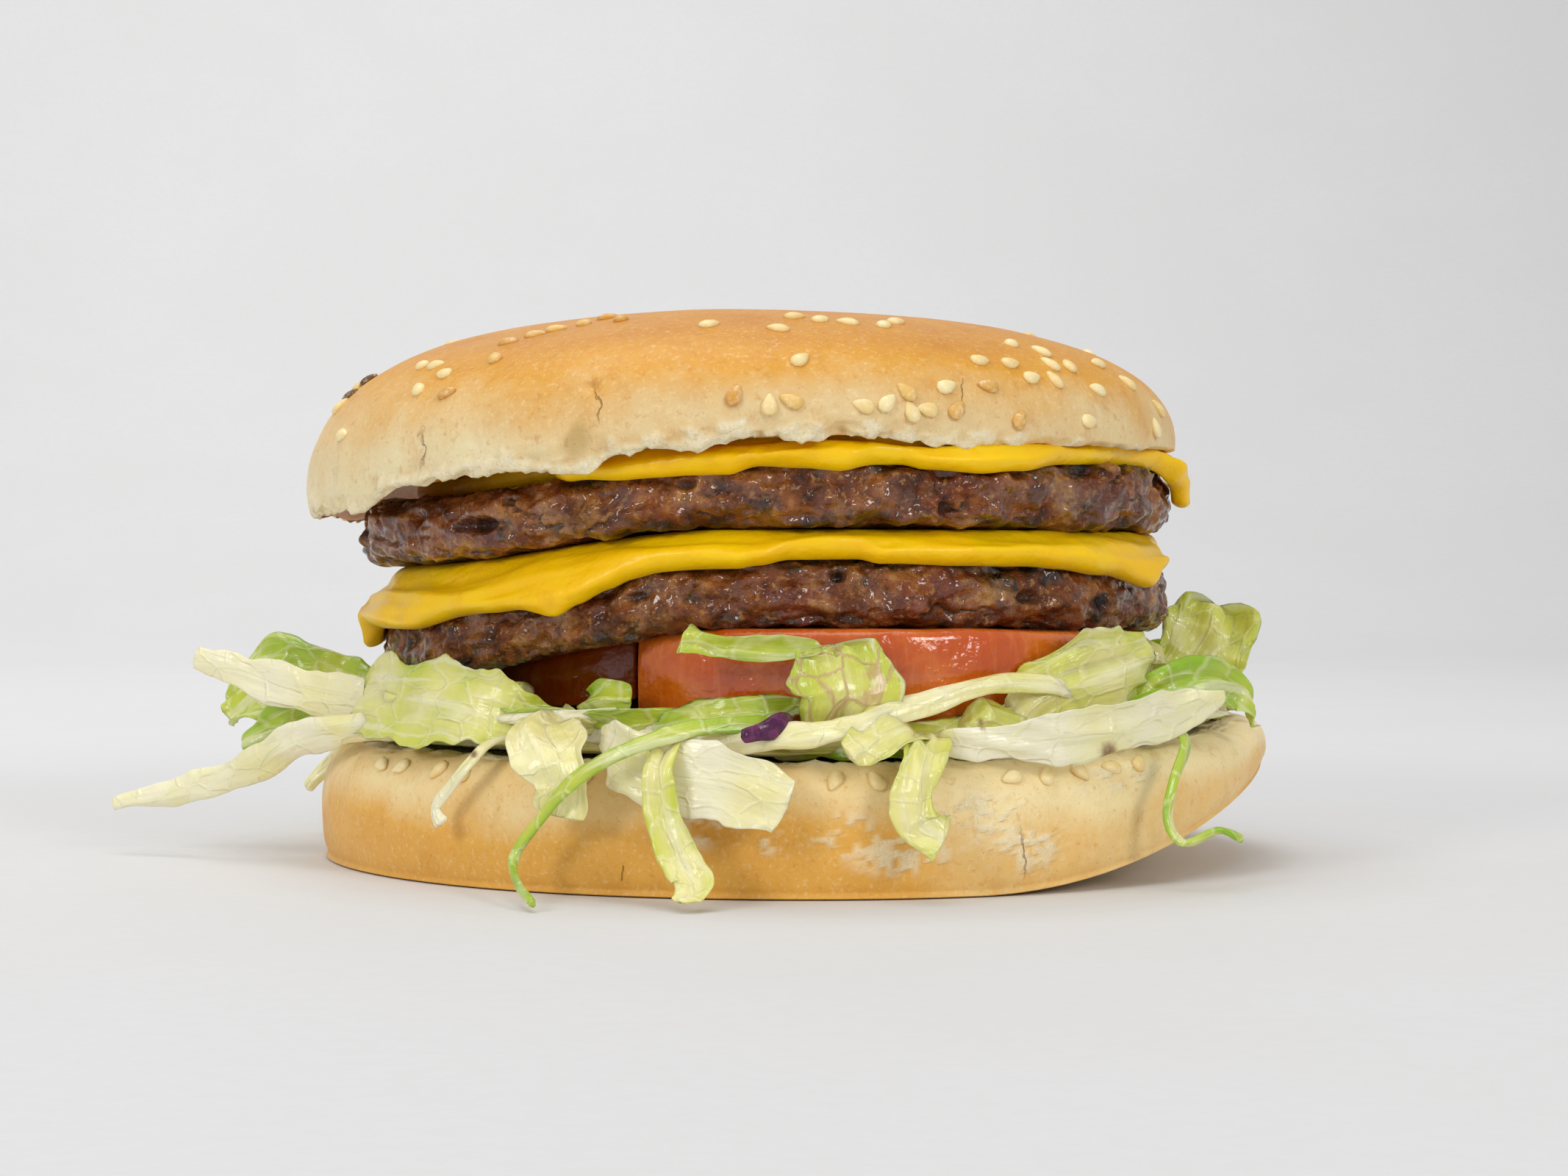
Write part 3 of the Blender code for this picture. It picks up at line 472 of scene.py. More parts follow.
def crown_point(turn, level):
    """A point of the crown's skin, which runs over the cut face, the lip and the dome."""
    degrees = 360 * turn
    if level < UNDER_END:
        place = crown_under(LIP_SHARE * math.sin(level / UNDER_END * math.pi / 2), degrees)
    elif level < LIP_END:
        bend = (level - UNDER_END) / (LIP_END - UNDER_END) * math.pi / 2
        low = crown_under(LIP_SHARE, degrees)
        high = crown_dome(1, 0, degrees)
        place = Vector((blend(low.x, high.x, math.sin(bend)), blend(low.y, high.y, math.sin(bend)),
                        blend(low.z, high.z, 1 - math.cos(bend))))
    else:
        angle = (1 - level) / (1 - LIP_END) * math.pi / 2
        place = crown_dome(math.sin(angle) ** 0.8, math.cos(angle) ** 0.8, degrees)
    above = place.z - crown_lip(place.x)
    coarse = lump(*place, 3.2, 21)
    fine = lump(*place, 1.1, 22)
    outside = ease((level - 0.97 * UNDER_END) / (0.12 * UNDER_END))
    tear = ease(1 - above / TEAR_UP) * outside
    outward = Vector((place.x - CROWN_X, place.y, 0)).normalized()
    crumb = ease((1.7 + 2.6 * coarse + 1.2 * fine - above) / 1.2) * outside
    left = ease((-22 - place.x) / 22) * ease((63 - place.z) / 8)
    bake = 0.14 + 0.2 * ease((above - 2 - 4 * lump(*place, 16, 24)) / 7) + 0.38 * ease((place.z - 60) / 12)
    bake -= 0.14 * left
    # The cut face is painted a deep toasted brown, as painted shade for where it lies in shadow under the
    # crown.
    bake = blend(0.95, bake, outside)
    front = place.y < 0
    off_stain = math.hypot(place.x - STAIN[0], place.z - STAIN[1]) / STAIN_RADIUS
    stain = STAIN_SHADE * front * ease(1.3 - off_stain + 1.2 * coarse)
    pit = front * ease(1 - math.hypot(place.x - PIT[0], place.z - PIT[1]) / PIT[2])
    place += outward * tear * (0.7 * coarse + 0.45 * fine - 0.2)
    place.z -= tear * (0.35 + 1.0 * coarse + 0.6 * fine)
    place += outward * (0.25 * lump(*place, 7, 25) * outside * (1 - tear) - PIT[3] * pit)
    return place, bake, crumb, stain


crown = rolled("bun_crown_crust", crown_point, BUN_MARKS, around=530, rows=184)
dress(crown, crown_crust, "bun", "bun_crown")

# %% [markdown]
# ## Sesame seeds
# A sesame seed is a flat drop, 3 mm long. One drop is made from a small sphere and copied to each
# place, half sunk in the crust, each with its own turn and its own toasting: most stay ivory, some
# turn gold, and two at the left edge are burnt.

# %% Seed material
seed_skin, tree, shader, mm = start_material("hulled sesame seed", {
    "Roughness": 0.38, "Subsurface Weight": 0.15, "Subsurface Scale": 0.8 * MM})
toast = add(tree, "Attribute", out="Fac", attribute_name="toast")
hull = add(tree, "ValToRGB", {"Fac": toast}, stops=(
    (0, "#F4E0A6"), (0.45, "#EBC470"), (0.7, "#CF922E"), (1, "#3A1C0C")))
hull = patched(tree, mm, hull, (1.2, 0.45, 0.65, 0.35, "#FFF4D2"))
tree.links.new(hull, shader.inputs["Base Color"])
ridges = add(tree, "TexNoise", {"Vector": mm, "Scale": 1 / 0.5})
tree.links.new(add(tree, "Bump", {"Height": ridges, "Distance": 0.05 * MM}), shader.inputs["Normal"])

# %% Seed
SEED_HALF = (1.6, 0.98, 0.6)
bpy.ops.object.select_all(action="DESELECT")
bpy.ops.mesh.primitive_uv_sphere_add(segments=10, ring_count=6, radius=1)
bpy.ops.object.shade_smooth()
drop = bpy.context.object
for vert in drop.data.vertices:
    taper = 1 - 0.42 * vert.co.x - 0.12 * vert.co.x**2
    vert.co = Vector((SEED_HALF[0] * vert.co.x, SEED_HALF[1] * taper * vert.co.y,
                      SEED_HALF[2] * (0.4 + 0.6 * taper) * vert.co.z))


def seed(place, outward, turn, toast):
    """A copy of the seed that lies on the bun at the place, facing outward."""
    made = drop.copy()
    made.data = drop.data.copy()
    bpy.context.scene.collection.objects.link(made)
    facing = outward.to_track_quat("Z", "Y").to_matrix()
    spin = Vector((math.cos(turn), math.sin(turn), 0)).to_track_quat("X", "Z").to_matrix()
    for vert in made.data.vertices:
        vert.co = (place + facing @ (spin @ vert.co)) * MM
    layer = made.data.attributes.new("toast", "FLOAT", "POINT")
    layer.data.foreach_set("value", [toast] * len(made.data.vertices))
    return made


# %% Crown seeds
# The seeds that the viewer sees, as (degrees, share of the crown's radius).
CROWN_SEEDS_SHOWN = (
    (208, 0.98), (216, 0.85), (226, 0.9), (221, 0.86), (223, 0.93), (230, 0.95), (234, 0.87), (231, 0.78),
    (234, 0.74), (236, 0.7), (240, 0.66), (242, 0.6), (248, 0.67), (266, 0.79), (276, 0.82), (280, 0.7),
    (284, 0.73), (288, 0.75), (294, 0.76), (298, 0.72), (278, 0.95), (270, 0.996), (274, 0.999),
    (276.5, 0.998), (285, 0.999), (288, 0.998), (290.5, 0.992), (293, 0.999), (291, 0.9995), (296, 0.985),
    (302, 0.98), (297, 0.9985), (306, 0.9992), (310, 0.96), (314, 0.96), (316, 0.92), (322, 0.97),
    (318, 0.998), (336, 0.998), (314, 0.84), (318, 0.87), (320, 0.92), (330, 0.9), (333, 0.95),
    (357, 0.8), (308, 0.93), (340, 0.985), (303, 0.93),
)
CROWN_SEEDS_BEHIND = 22
SEEDS_APART = 5.0
DOME_CURVE = 2.5
# Seeds in this span of degrees, and at these ones, are toasted gold.
GOLD_SPAN = (229, 249)
GOLD_ALSO = (270, 276.5, 290.5, 297, 302, 306)
GOLD_TOAST = 0.55
# Two seeds at the left edge are burnt.
CROWN_SEEDS_BURNT = ((196, 0.91), (193, 0.863))
BURNT_TOAST = 0.95


def on_dome(degrees, share):
    """A place on the crust, at an angle and a share of the crown's radius."""
    return crown_dome(share, max(1 - share**DOME_CURVE, 0) ** (1 / DOME_CURVE), degrees)


chance = random.Random(11)
spots = list(CROWN_SEEDS_SHOWN)
while len(spots) < len(CROWN_SEEDS_SHOWN) + CROWN_SEEDS_BEHIND:
    spot = (chance.uniform(-10, 200), chance.uniform(0.05, 1) ** 0.5 * 0.95)
    if all((on_dome(*spot) - on_dome(*other)).length > SEEDS_APART for other in spots):
        spots.append(spot)
crown_seeds = []
for degrees, share in (*spots, *CROWN_SEEDS_BURNT):
    place = on_dome(degrees, share)
    uphill = on_dome(degrees, share - 0.02) - place
    outward = (on_dome(degrees + 2, share) - place).cross(uphill).normalized()
    turn = chance.uniform(0, math.pi)
    toast = chance.uniform(0.0, 0.3)
    if GOLD_SPAN[0] < degrees < GOLD_SPAN[1] or degrees in GOLD_ALSO:
        toast = GOLD_TOAST + chance.uniform(-0.1, 0.12)
    if (degrees, share) in CROWN_SEEDS_BURNT:
        toast = BURNT_TOAST
    crown_seeds.append(seed(place + 0.12 * outward, outward, turn, toast))
crown_seeds = joined("crown_sesame_seeds", crown_seeds)
dress(crown_seeds, seed_skin, "bun")

# %% [markdown]
# ## The bun's heel
# The heel is a low cushion with a dished cut face and a torn upper rim. Its right side curls off
# the table. A smooth line through a few section points, turned round the middle, gives the form,
# and the marks keep the rim pale and the side golden, with floury patches on the front.

# %% Heel sizes
HEEL_RADIUS = 66.0
HEEL_HEIGHT = 16.4
HEEL_FLAT_END = 22.0
HEEL_LIFT = 0.0073
# The heel's section as (share of the radius, less this much, height), from below to the cut face.
HEEL_SECTION = tuple(Vector(row) for row in (
    (0, 0, 0), (0.7, 0, 0), (1, 2.4, 0), (1, 0.7, 1.1), (1, 0, 4.5), (1, 0.1, 9.5), (1, 1.0, 13.2),
    (1, 3.2, 15.7), (1, 5.8, 16.4), (1, 8.5, 15.9), (0.55, 0, 16), (0, 0, 16)))
# Floury patches on the front, as (x, height, half width, half height).
FLOURY = ((6, 8, 4, 3), (13, 6, 7, 3.2), (22, 10, 6, 3), (28, 6, 5, 3.5), (-12, 8.5, 3, 2.5),
          (-3, 7, 2.5, 1.5), (40, 13, 6, 2))


# %% Heel
def heel_lift(x, share_up):
    """The heel's right side curls off the table, and its top edge rises a quarter as much."""
    past = max(x - HEEL_FLAT_END, 0.0)
    return HEEL_LIFT * past * past * (1 - 0.75 * share_up)


def heel_point(share, less, height, degrees):
    """A point of the heel at a share of its radius, less some millimetres, and at a height."""
    turn = math.radians(degrees)
    wide = HEEL_RADIUS + 0.7 * lump(math.cos(turn), math.sin(turn), 0, 0.7, 6)
    x = (wide * share - less) * math.cos(turn)
    y = (wide * share - less) * math.sin(turn)
    return Vector((x, y, height + heel_lift(x, height / HEEL_HEIGHT)))


def heel_skin(turn, level):
    """A point of the heel's skin along its section, with its torn rim and floury flakes."""
    share, less, height = through(HEEL_SECTION, level)
    place = heel_point(share, less, max(height, 0), 360 * turn)
    side = ease((level - 0.27) / 0.1) * (1 - ease((level - 0.82) / 0.08))
    place.z += 0.35 * side * lump(*place, 9, 7)
    outward = Vector((place.x, place.y, 0)).normalized()
    place += outward * side * 0.3 * lump(*place, 6, 26)
    coarse = lump(*place, 3.2, 27)
    fine = lump(*place, 1.1, 28)
    rim = ease((level - 0.62) / 0.06)
    crumb = ease((level + 0.035 * coarse - 0.66) / 0.03)
    # The crust is painted paler towards the right side, as painted light: the lamps leave that side darker.
    bake = 0.14 + 0.44 * ease((13 + 4 * lump(*place, 15, 29) - height) / 7) - 0.3 * ease((place.x - 2) / 30)
    floury = 0.0
    for x, up, half_wide, half_tall in FLOURY:
        near = math.hypot((place.x - x) / half_wide, (height - up) / half_tall)
        floury = max(floury, ease(1.4 - near) * (place.y < 0))
    flakes = ease((coarse + 0.9 * fine - 0.05) / 0.2)
    crumb = max(crumb, 0.75 * flakes * floury)
    place.z += rim * (0.5 * coarse + 0.3 * fine)
    place += outward * (0.16 * flakes * floury)
    return place, bake, crumb, 0.0


heel = rolled("bun_heel_crust", heel_skin, BUN_MARKS, around=520, rows=180)
dress(heel, heel_crust, "bun", "bun_heel")

# %% Heel seeds
# Groups of seeds on the heel's upper rim, as (degrees from the front, how many more beside it).
HEEL_SEED_STEP = 4.5
HEEL_SEED_HEIGHT = 14.35
HEEL_SEEDS = ((-57, 1), (-45, 1), (-24, 0), (4, 2), (24, 1), (33, 2))
heel_seeds = []
for degrees, more in HEEL_SEEDS:
    for step in range(more + 1):
        angle = degrees - 90 + HEEL_SEED_STEP * step
        place = heel_point(1, 1.6, HEEL_SEED_HEIGHT, angle)
        turn = math.radians(angle)
        outward = Vector((math.cos(turn), math.sin(turn), 0.75)).normalized()
        heel_seeds.append(seed(place + 0.15 * outward, outward, 0.9 * angle, chance.uniform(0.0, 0.25)))
heel_seeds = joined("heel_sesame_seeds", heel_seeds)
dress(heel_seeds, seed_skin, "bun")
bpy.data.objects.remove(drop)

# %% [markdown]
# ## Seared ground beef
# Ground beef is pressed meat that browns unevenly: lumps of 2 to 12 mm, winding creases between
# them, redder zones, black char along the edges and a film of fat that shines. Noise of four sizes
# pushes the mesh in and out, and lines where the noise passes zero make the creases. A patchy
# clear coat, with a smoother bump of its own, gives the wet glints.

# %% Beef material
beef, tree, shader, mm = start_material("seared ground beef", {
    "Coat Roughness": 0.05, "Coat IOR": 1.5, "Specular IOR Level": 0.25, "Subsurface Weight": 0.06,
    "Subsurface Scale": 1.0 * MM})
char, crease_shade = (add(tree, "Attribute", out="Fac", attribute_name=mark) for mark in ("char", "crease_shade"))
cloud = add(tree, "TexNoise", {"Vector": mm, "Scale": 1 / 5.5, "Detail": 5, "Roughness": 0.65})
meat = add(tree, "ValToRGB", {"Fac": cloud}, stops=(
    (0.32, "#2C1305"), (0.45, "#683312"), (0.57, "#935624"), (0.72, "#C48E46")))
meat = patched(tree, mm, meat, (8, 0.52, 0.66, 0.5, "#76280E"), (11, 0.55, 0.68, 0.4, "#A07E4E"),
               (1.1, 0.54, 0.66, 0.5, "#C49252"), (1.5, 0.55, 0.65, 0.6, "#361608"))
# Creases and hollows are painted near black, as painted shade inside them.
painted_shade = add(tree, "Math", {0: crease_shade, 1: 0.75}, operation="MULTIPLY")
meat = add(tree, "Mix", {0: painted_shade, 6: meat, 7: linear("#24100A")}, 2, data_type="RGBA")
flecks = add(tree, "TexNoise", {"Vector": mm, "Scale": 1 / 2.2, "Detail": 4, "Roughness": 0.7})
flecks = add(tree, "MapRange", {"Value": flecks, "From Min": 0.36, "From Max": 0.58})
burnt = add(tree, "Math", {0: char, 1: flecks}, operation="MULTIPLY")
meat = add(tree, "Mix", {0: burnt, 6: meat, 7: linear("#120A08")}, 2, data_type="RGBA")
tree.links.new(meat, shader.inputs["Base Color"])
greasy = add(tree, "TexNoise", {"Vector": mm, "Scale": 1 / 4.5, "Detail": 3})
# Where the noise is high, the meat is smoother and its coat of fat full.
for socket, full, dry, wet in (("Roughness", 0.6, 0.5, 0.25), ("Coat Weight", 0.54, 0.25, 1.0)):
    span = {"Value": greasy, "From Min": 0.42, "From Max": full, "To Min": dry, "To Max": wet}
    tree.links.new(add(tree, "MapRange", span), shader.inputs[socket])
grains = add(tree, "TexNoise", {"Vector": mm, "Scale": 1 / 2.4, "Detail": 5, "Roughness": 0.7})
beads = add(tree, "TexNoise", {"Vector": mm, "Scale": 1 / 0.9, "Detail": 3, "Roughness": 0.6})
relief = add(tree, "Bump", {"Height": grains, "Distance": 0.9 * MM})
relief = add(tree, "Bump", {"Height": beads, "Distance": 0.35 * MM, "Normal": relief})
tree.links.new(relief, shader.inputs["Normal"])
# The film of fat is smoother than the meat under it, so its lumps mirror the lights as small glints.
fat = add(tree, "TexNoise", {"Vector": mm, "Scale": 1 / 1.6, "Detail": 1})
film = add(tree, "Bump", {"Height": fat, "Distance": 0.6 * MM})
tree.links.new(film, shader.inputs["Coat Normal"])

# %% Patty sizes
LOWER_X = -2.7
LOWER_RADIUS = 55.9
LOWER_MIDDLE = 37.0
LOWER_HALF = 5.0
FACE_ROWS = 0.3
# Hollows in the fronts, pushed in and painted with shade, as (x, height, half width, half height, depth),
# by patty.
HOLLOWS = {
    1: ((-41.4, 45.4, 2.4, 1.0, 2.6), (-14, 50.5, 1.4, 0.7, 1.0), (19, 47, 1.2, 0.8, 1.0)),
    2: ((5.3, 39.5, 0.7, 1.1, 1.5), (30, 36.2, 1.8, 0.7, 1.2), (-20, 36.5, 1.5, 0.6, 1.0)),
}


# %% Patty form
def lower_sag(x):
    """The lower patty droops further on the left, and a little on the right."""
    return -7.0 * ease((-8 - x) / 46) - 1.2 * ease((x - 18) / 36)


def shoulder(edge, half, offset, along):
    """Radius and height over the middle, on a shell round a patty, at a distance from its centre."""
    flat = edge - half
    if along <= flat:
        return along, half + offset
    reach = half + offset
    angle = math.pi / 2 - (along - flat) / reach
    if angle < 0:
        return edge + offset, angle * reach
    return flat + reach * math.cos(angle) ** BOXY, reach * math.sin(angle) ** BOXY


def patty(name, x_middle, radius, middle, half, sag, which):
    """A craggy disc of pressed meat."""
    def point(turn, level):
        degrees = 360 * turn
        around = math.radians(degrees)
        edge = patty_edge(radius, degrees, which)
        flat = edge - half
        sign = 1 if level > 0.5 else -1
        way = 2 * min(level, 1 - level)
        if way < FACE_ROWS:
            along = flat * way / FACE_ROWS
        else:
            along = flat + (way - FACE_ROWS) / (1 - FACE_ROWS) * half * math.pi / 2
        away, height = shoulder(edge, half, 0, along)
        height = max(height, 0)
        x = x_middle + away * math.cos(around)
        y = away * math.sin(around)
        z = middle + sign * height + sag(x)
        lumps = 1.5 * lump(x, y, z, 11, which) + 1.0 * lump(x, y, 1.4 * z, 4.6, which + 2)
        grit = 0.75 * lump(x, y, z, 2.3, which + 30) + 0.45 * lump(x, y, z, 1.2, which + 31)
        crease = 1 - ease(abs(lump(x, y, 2 * z, 9, which + 32) + 0.3 * grit) / 0.07)
        crease *= ease(3 * lump(x, y, z, 7, which + 36))
        rim = ease((away - flat + 4) / 6)
        depth = max(1.0 - lumps - grit, -0.3) * blend(0.15, 1, rim) + 0.7 * crease * rim
        for hole_x, hole_z, half_wide, half_tall, deep in HOLLOWS[which]:
            near = math.hypot((x - hole_x) / half_wide, (z - hole_z) / half_tall)
            near += 0.5 * lump(x, y, z, 2, 37)
            hole = ease(1.5 - near) * (y < 0)
            depth += deep * hole
            # A hollow also counts as a crease, so it gets the same painted shade.
            crease = max(crease, hole)
        inwards = ease((away - flat) / half)
        x -= depth * inwards * math.cos(around)
        y -= depth * inwards * math.sin(around)
        z -= 0.6 * depth * (height / half) * sign
        high = height / half * sign
        char = ease((high - 0.6 + 0.8 * lump(x, y, 0, 7, which + 33)) / 0.3)
        char = max(char, 0.9 * ease((-high - 0.7 + 0.7 * lump(x, y, 0, 9, which + 34)) / 0.3))
        char = max(char, ease((lump(x, y, z, 7, which + 35) - 0.36) / 0.1))
        return Vector((x, y, z)), char, crease

    return rolled(name, point, ("char", "crease_shade"), around=640, rows=110)


# %% Patties
upper = (UPPER_X, UPPER_RADIUS, UPPER_MIDDLE, UPPER_HALF, upper_sag, 1)
lower = (LOWER_X, LOWER_RADIUS, LOWER_MIDDLE, LOWER_HALF, lower_sag, 2)
dress(patty("patty_upper_seared", *upper), beef, "beef", "patty_upper")
dress(patty("patty_lower_seared", *lower), beef, "beef", "patty_lower")

# %% [markdown]
# ## Melted cheese
# A processed cheese slice is 2 mm thick and even, and when warm it bends over the patty like soft
# rubber, with round hems and shallow folds. So each slice is a smooth shell laid on the patty's own
# form, and a table says how far it hangs at each angle. Its yellow glows because light gets inside.

# %% Cheese material
cheese, tree, shader, mm = start_material("melted processed cheese", {
    "Roughness": 0.32, "Specular IOR Level": 0.35, "Subsurface Weight": 0.18,
    "Subsurface Scale": 2.0 * MM, "Subsurface Radius": (1.0, 0.5, 0.05)})
butter = patched(tree, mm, linear("#FFCE00"), (14, 0.4, 0.6, 0.7, "#FCC200"),
                 (6, 0.6, 0.74, 0.35, "#DCA014"), (0.8, 0.68, 0.76, 0.4, "#8A4A10"))
tree.links.new(butter, shader.inputs["Base Color"])
ripples = add(tree, "TexNoise", {"Vector": mm, "Scale": 1 / 3.5, "Detail": 3})
specks = add(tree, "TexNoise", {"Vector": mm, "Scale": 1 / 0.8})
relief = add(tree, "Bump", {"Height": ripples, "Distance": 0.4 * MM})
relief = add(tree, "Bump", {"Height": specks, "Distance": 0.04 * MM, "Normal": relief})
tree.links.new(relief, shader.inputs["Normal"])

# %% Cheese sizes
CHEESE_THICK = 2.0
# A slice's inside is pressed this far into the meat, and its flat part as far into what lies on it.
PRESSED = 0.5
LOWER_CHEESE_HANG = (
    (0, 1), (20, -2), (45, 1), (65, 9), (85, 3), (110, -4), (135, 0), (152, 9), (166, 7), (176, 12.5),
    (186, 13), (192, 10), (197, 10.2), (211, 10.3), (222, 8.5), (231, 9.2), (241, 11.3), (244, 10.7),
    (248, 9.4), (251, 8.4), (255, 7.8), (265, 8), (268, 7), (272, 5), (281, 4.5), (284, 6.7), (296, 7.2),
    (307, 7), (321, 8.4), (331, 10.6), (336, 8), (344, 3),
)
HEM_ROWS = 0.14


# %% Cheese form
def cheese_slice(name, x_middle, radius, middle, half, sag, which, hangs, thick, rise):
    """A soft sheet with a round hem, bent over a patty's edge."""
    def point(turn, level):
        degrees = 360 * turn
        around = math.radians(degrees)
        edge = patty_edge(radius, degrees, which)
        flat = edge - half
        uneven = 0.35 * lump(math.cos(around), math.sin(around), 0, 0.1, which + 40)
        hem = flat + around_table(hangs, degrees) + uneven
        bead = (thick + PRESSED) / 2
        from_hem = abs(level - 0.5)
        if from_hem < HEM_ROWS / 2:
            bend = (level - 0.5) / HEM_ROWS * math.pi
            along = hem - bead + bead * math.cos(bend)
            offset = bead + bead * math.sin(bend) - PRESSED
        else:
            way = (0.5 - from_hem) / (0.5 - HEM_ROWS / 2)
            along = (hem - bead) * way**0.6
            offset = thick if level > 0.5 else -PRESSED
        extra = rise(x_middle + min(along, edge) * math.cos(around))
        outer = ease((level - 0.5 + HEM_ROWS / 2) / HEM_ROWS)
        arc = edge * around
        bent = ease((along - flat) / 3)
        fold = lump(arc / 17, along / 1.9 + 0.25 * math.sin(arc / 6), 0, 1, which + 41)
        swell = lump(arc / 9, along / 5, 0, 1, which + 42)
        offset += outer * bent * (0.3 + 0.8 * fold + 0.5 * swell + 0.25 * extra)
        offset += outer * (1 - bent) * (extra + GAP + PRESSED)
        curl = max(along - flat, 0) * (half + offset) / (half + GAP + thick)
        away, height = shoulder(edge, half, offset, min(along, flat) + curl)
        x = x_middle + away * math.cos(around)
        y = away * math.sin(around)
        return (Vector((x, y, middle + height + sag(x))),)

    return rolled(name, point, (), around=520, rows=120)


# %% Cheese slices
def fold_rise(x):
    """The lower cheese is folded where the patties part at both sides, and reaches the upper one."""
    return upper_sag(x) - lower_sag(x)


def no_rise(_x):
    """The upper cheese has only its own thickness."""
    return 0.0


lower_slice = cheese_slice("cheese_lower_melted", *lower, LOWER_CHEESE_HANG, CHEESE_THICK, fold_rise)
dress(lower_slice, cheese, "cheese", "cheese_lower")
upper_slice = cheese_slice("cheese_upper_melted", *upper, UPPER_CHEESE_HANG, UPPER_CHEESE_THICK, no_rise)
dress(upper_slice, cheese, "cheese", "cheese_upper")

# %% [markdown]
# ## Tomato
# Two slices lie on the lettuce: a thick one in front, cut straight at its left end, and a thin one
# behind. The skin is tight, wet and orange-red, and the flesh is paler and grainy. Tomato holds so
# much water that light goes in and comes out again, which a subsurface share imitates.

# %% Tomato material
tomato, tree, shader, mm = start_material("wet ripe tomato", {
    "Roughness": 0.16, "Coat Weight": 0.6, "Coat Roughness": 0.05, "Subsurface Weight": 0.15,
    "Subsurface Scale": 3.0 * MM, "Subsurface Radius": (1.0, 0.3, 0.1)})
skin = add(tree, "Attribute", out="Fac", attribute_name="skin")
streaks = add(tree, "Mapping", {"Vector": mm, "Scale": (1, 1, 0.15)})
ripe = patched(tree, mm, linear("#C65206"), (12, 0.4, 0.62, 0.8, "#DC7420"))
ripe = patched(tree, streaks, ripe, (1.4, 0.5, 0.66, 0.2, "#EC9448"))
flesh = patched(tree, mm, linear("#CC5C16"), (2.5, 0.42, 0.62, 0.8, "#E89050"))
color = add(tree, "Mix", {0: skin, 6: flesh, 7: ripe}, 2, data_type="RGBA")
tree.links.new(color, shader.inputs["Base Color"])
waves = add(tree, "TexNoise", {"Vector": mm, "Scale": 1 / 4, "Detail": 3})
drops = add(tree, "TexNoise", {"Vector": mm, "Scale": 1 / 0.9})
relief = add(tree, "Bump", {"Height": waves, "Distance": 0.6 * MM})
relief = add(tree, "Bump", {"Height": drops, "Distance": 0.1 * MM, "Normal": relief})
tree.links.new(relief, shader.inputs["Normal"])

# %% Tomato form
EDGE_ROUND = 1.1
SIDE_BULGE = 0.5
# A slice's face and its round edge end at these shares of the way from its middle to its side.
FACE_END = 0.4
ROUND_END = 0.7
# The skin's rays start this share of the radius away from the middle, well inside the cut slice.
POLE_SHIFT = 0.3


def tomato_slice(name, centre, radius, bottom, thick, cut_x, keep_right, tilt):
    """A round slice with a straight cut end and soft edges, whose top touches the patty above it."""
    side = -1 if keep_right else 1
    pole = Vector((centre[0] - side * POLE_SHIFT * radius, centre[1]))
    shift = pole - Vector(centre)

    def point(turn, level):
        around = 2 * math.pi * turn
        ray = Vector((math.cos(around), math.sin(around)))
        uneven = radius * (1 + 0.008 * lump(ray.x, ray.y, 0, 0.4, 45))
        reach = -shift.dot(ray) + math.sqrt(shift.dot(ray) ** 2 - shift.length_squared + uneven**2)
        skin = 1.0
        if side * ray.x > 0.01:
            to_cut = (cut_x - pole.x) / ray.x
            skin = ease((to_cut - reach) / 0.6 + 0.5)
            reach = min(reach, to_cut)
        way = 2 * min(level, 1 - level)
        if way < FACE_END:
            away = (reach - EDGE_ROUND) * way / FACE_END
            height = thick / 2
            skin = 0.0
        elif way < ROUND_END:
            bend = (way - FACE_END) / (ROUND_END - FACE_END) * math.pi / 2
            away = reach - EDGE_ROUND + EDGE_ROUND * math.sin(bend)
            height = thick / 2 - EDGE_ROUND + EDGE_ROUND * math.cos(bend)
        else:
            away = reach
            height = (thick / 2 - EDGE_ROUND) * (1 - way) / (1 - ROUND_END)
        away += SIDE_BULGE * skin * (1 - (2 * height / thick) ** 2) * (away / reach)
        x = pole.x + away * ray.x
        y = pole.y + away * ray.y
        height *= 1 if level > 0.5 else -1
        z = bottom + thick / 2 + height + tilt * (x - cut_x)
        top = bottom + thick + tilt * (x - cut_x)
        patty_above = LOWER_MIDDLE - LOWER_HALF + lower_sag(x) + PRESSED
        z += max(patty_above - top, 0) * ease(height / thick + 0.5)
        place = Vector((x, y, z))
        place.z += 0.2 * lump(*place, 9, 46)
        return place, skin

    return rolled(name, point, ("skin",), around=400, rows=70)


# %% Tomato slices
TOMATO_CUT_X = -20.0
front_slice = tomato_slice("tomato_front_slice", (6, -20), 37, 20.4, 9.6, TOMATO_CUT_X, True, 0.012)
dress(front_slice, tomato, "tomato", "tomato_front")
back_slice = tomato_slice("tomato_back_slice", (-21, -6), 24, 22.6, 5, TOMATO_CUT_X - 1, False, 0.09)
dress(back_slice, tomato, "tomato", "tomato_back")

# %% [markdown]
# ## Iceberg lettuce
# Shredded iceberg is crisp, wet and pale: white ribs, yellow-green leaf and a few bright green
# outer edges, thin enough for light to come through. Each shred is a flattened tube drawn along a
# path. Its width follows a list, its edges ruffle, and its marks say how green it is and where on
# its width and length each point lies, so that soft veins can run along it. One leaf has reddish
# veins, and a few have brown spots.

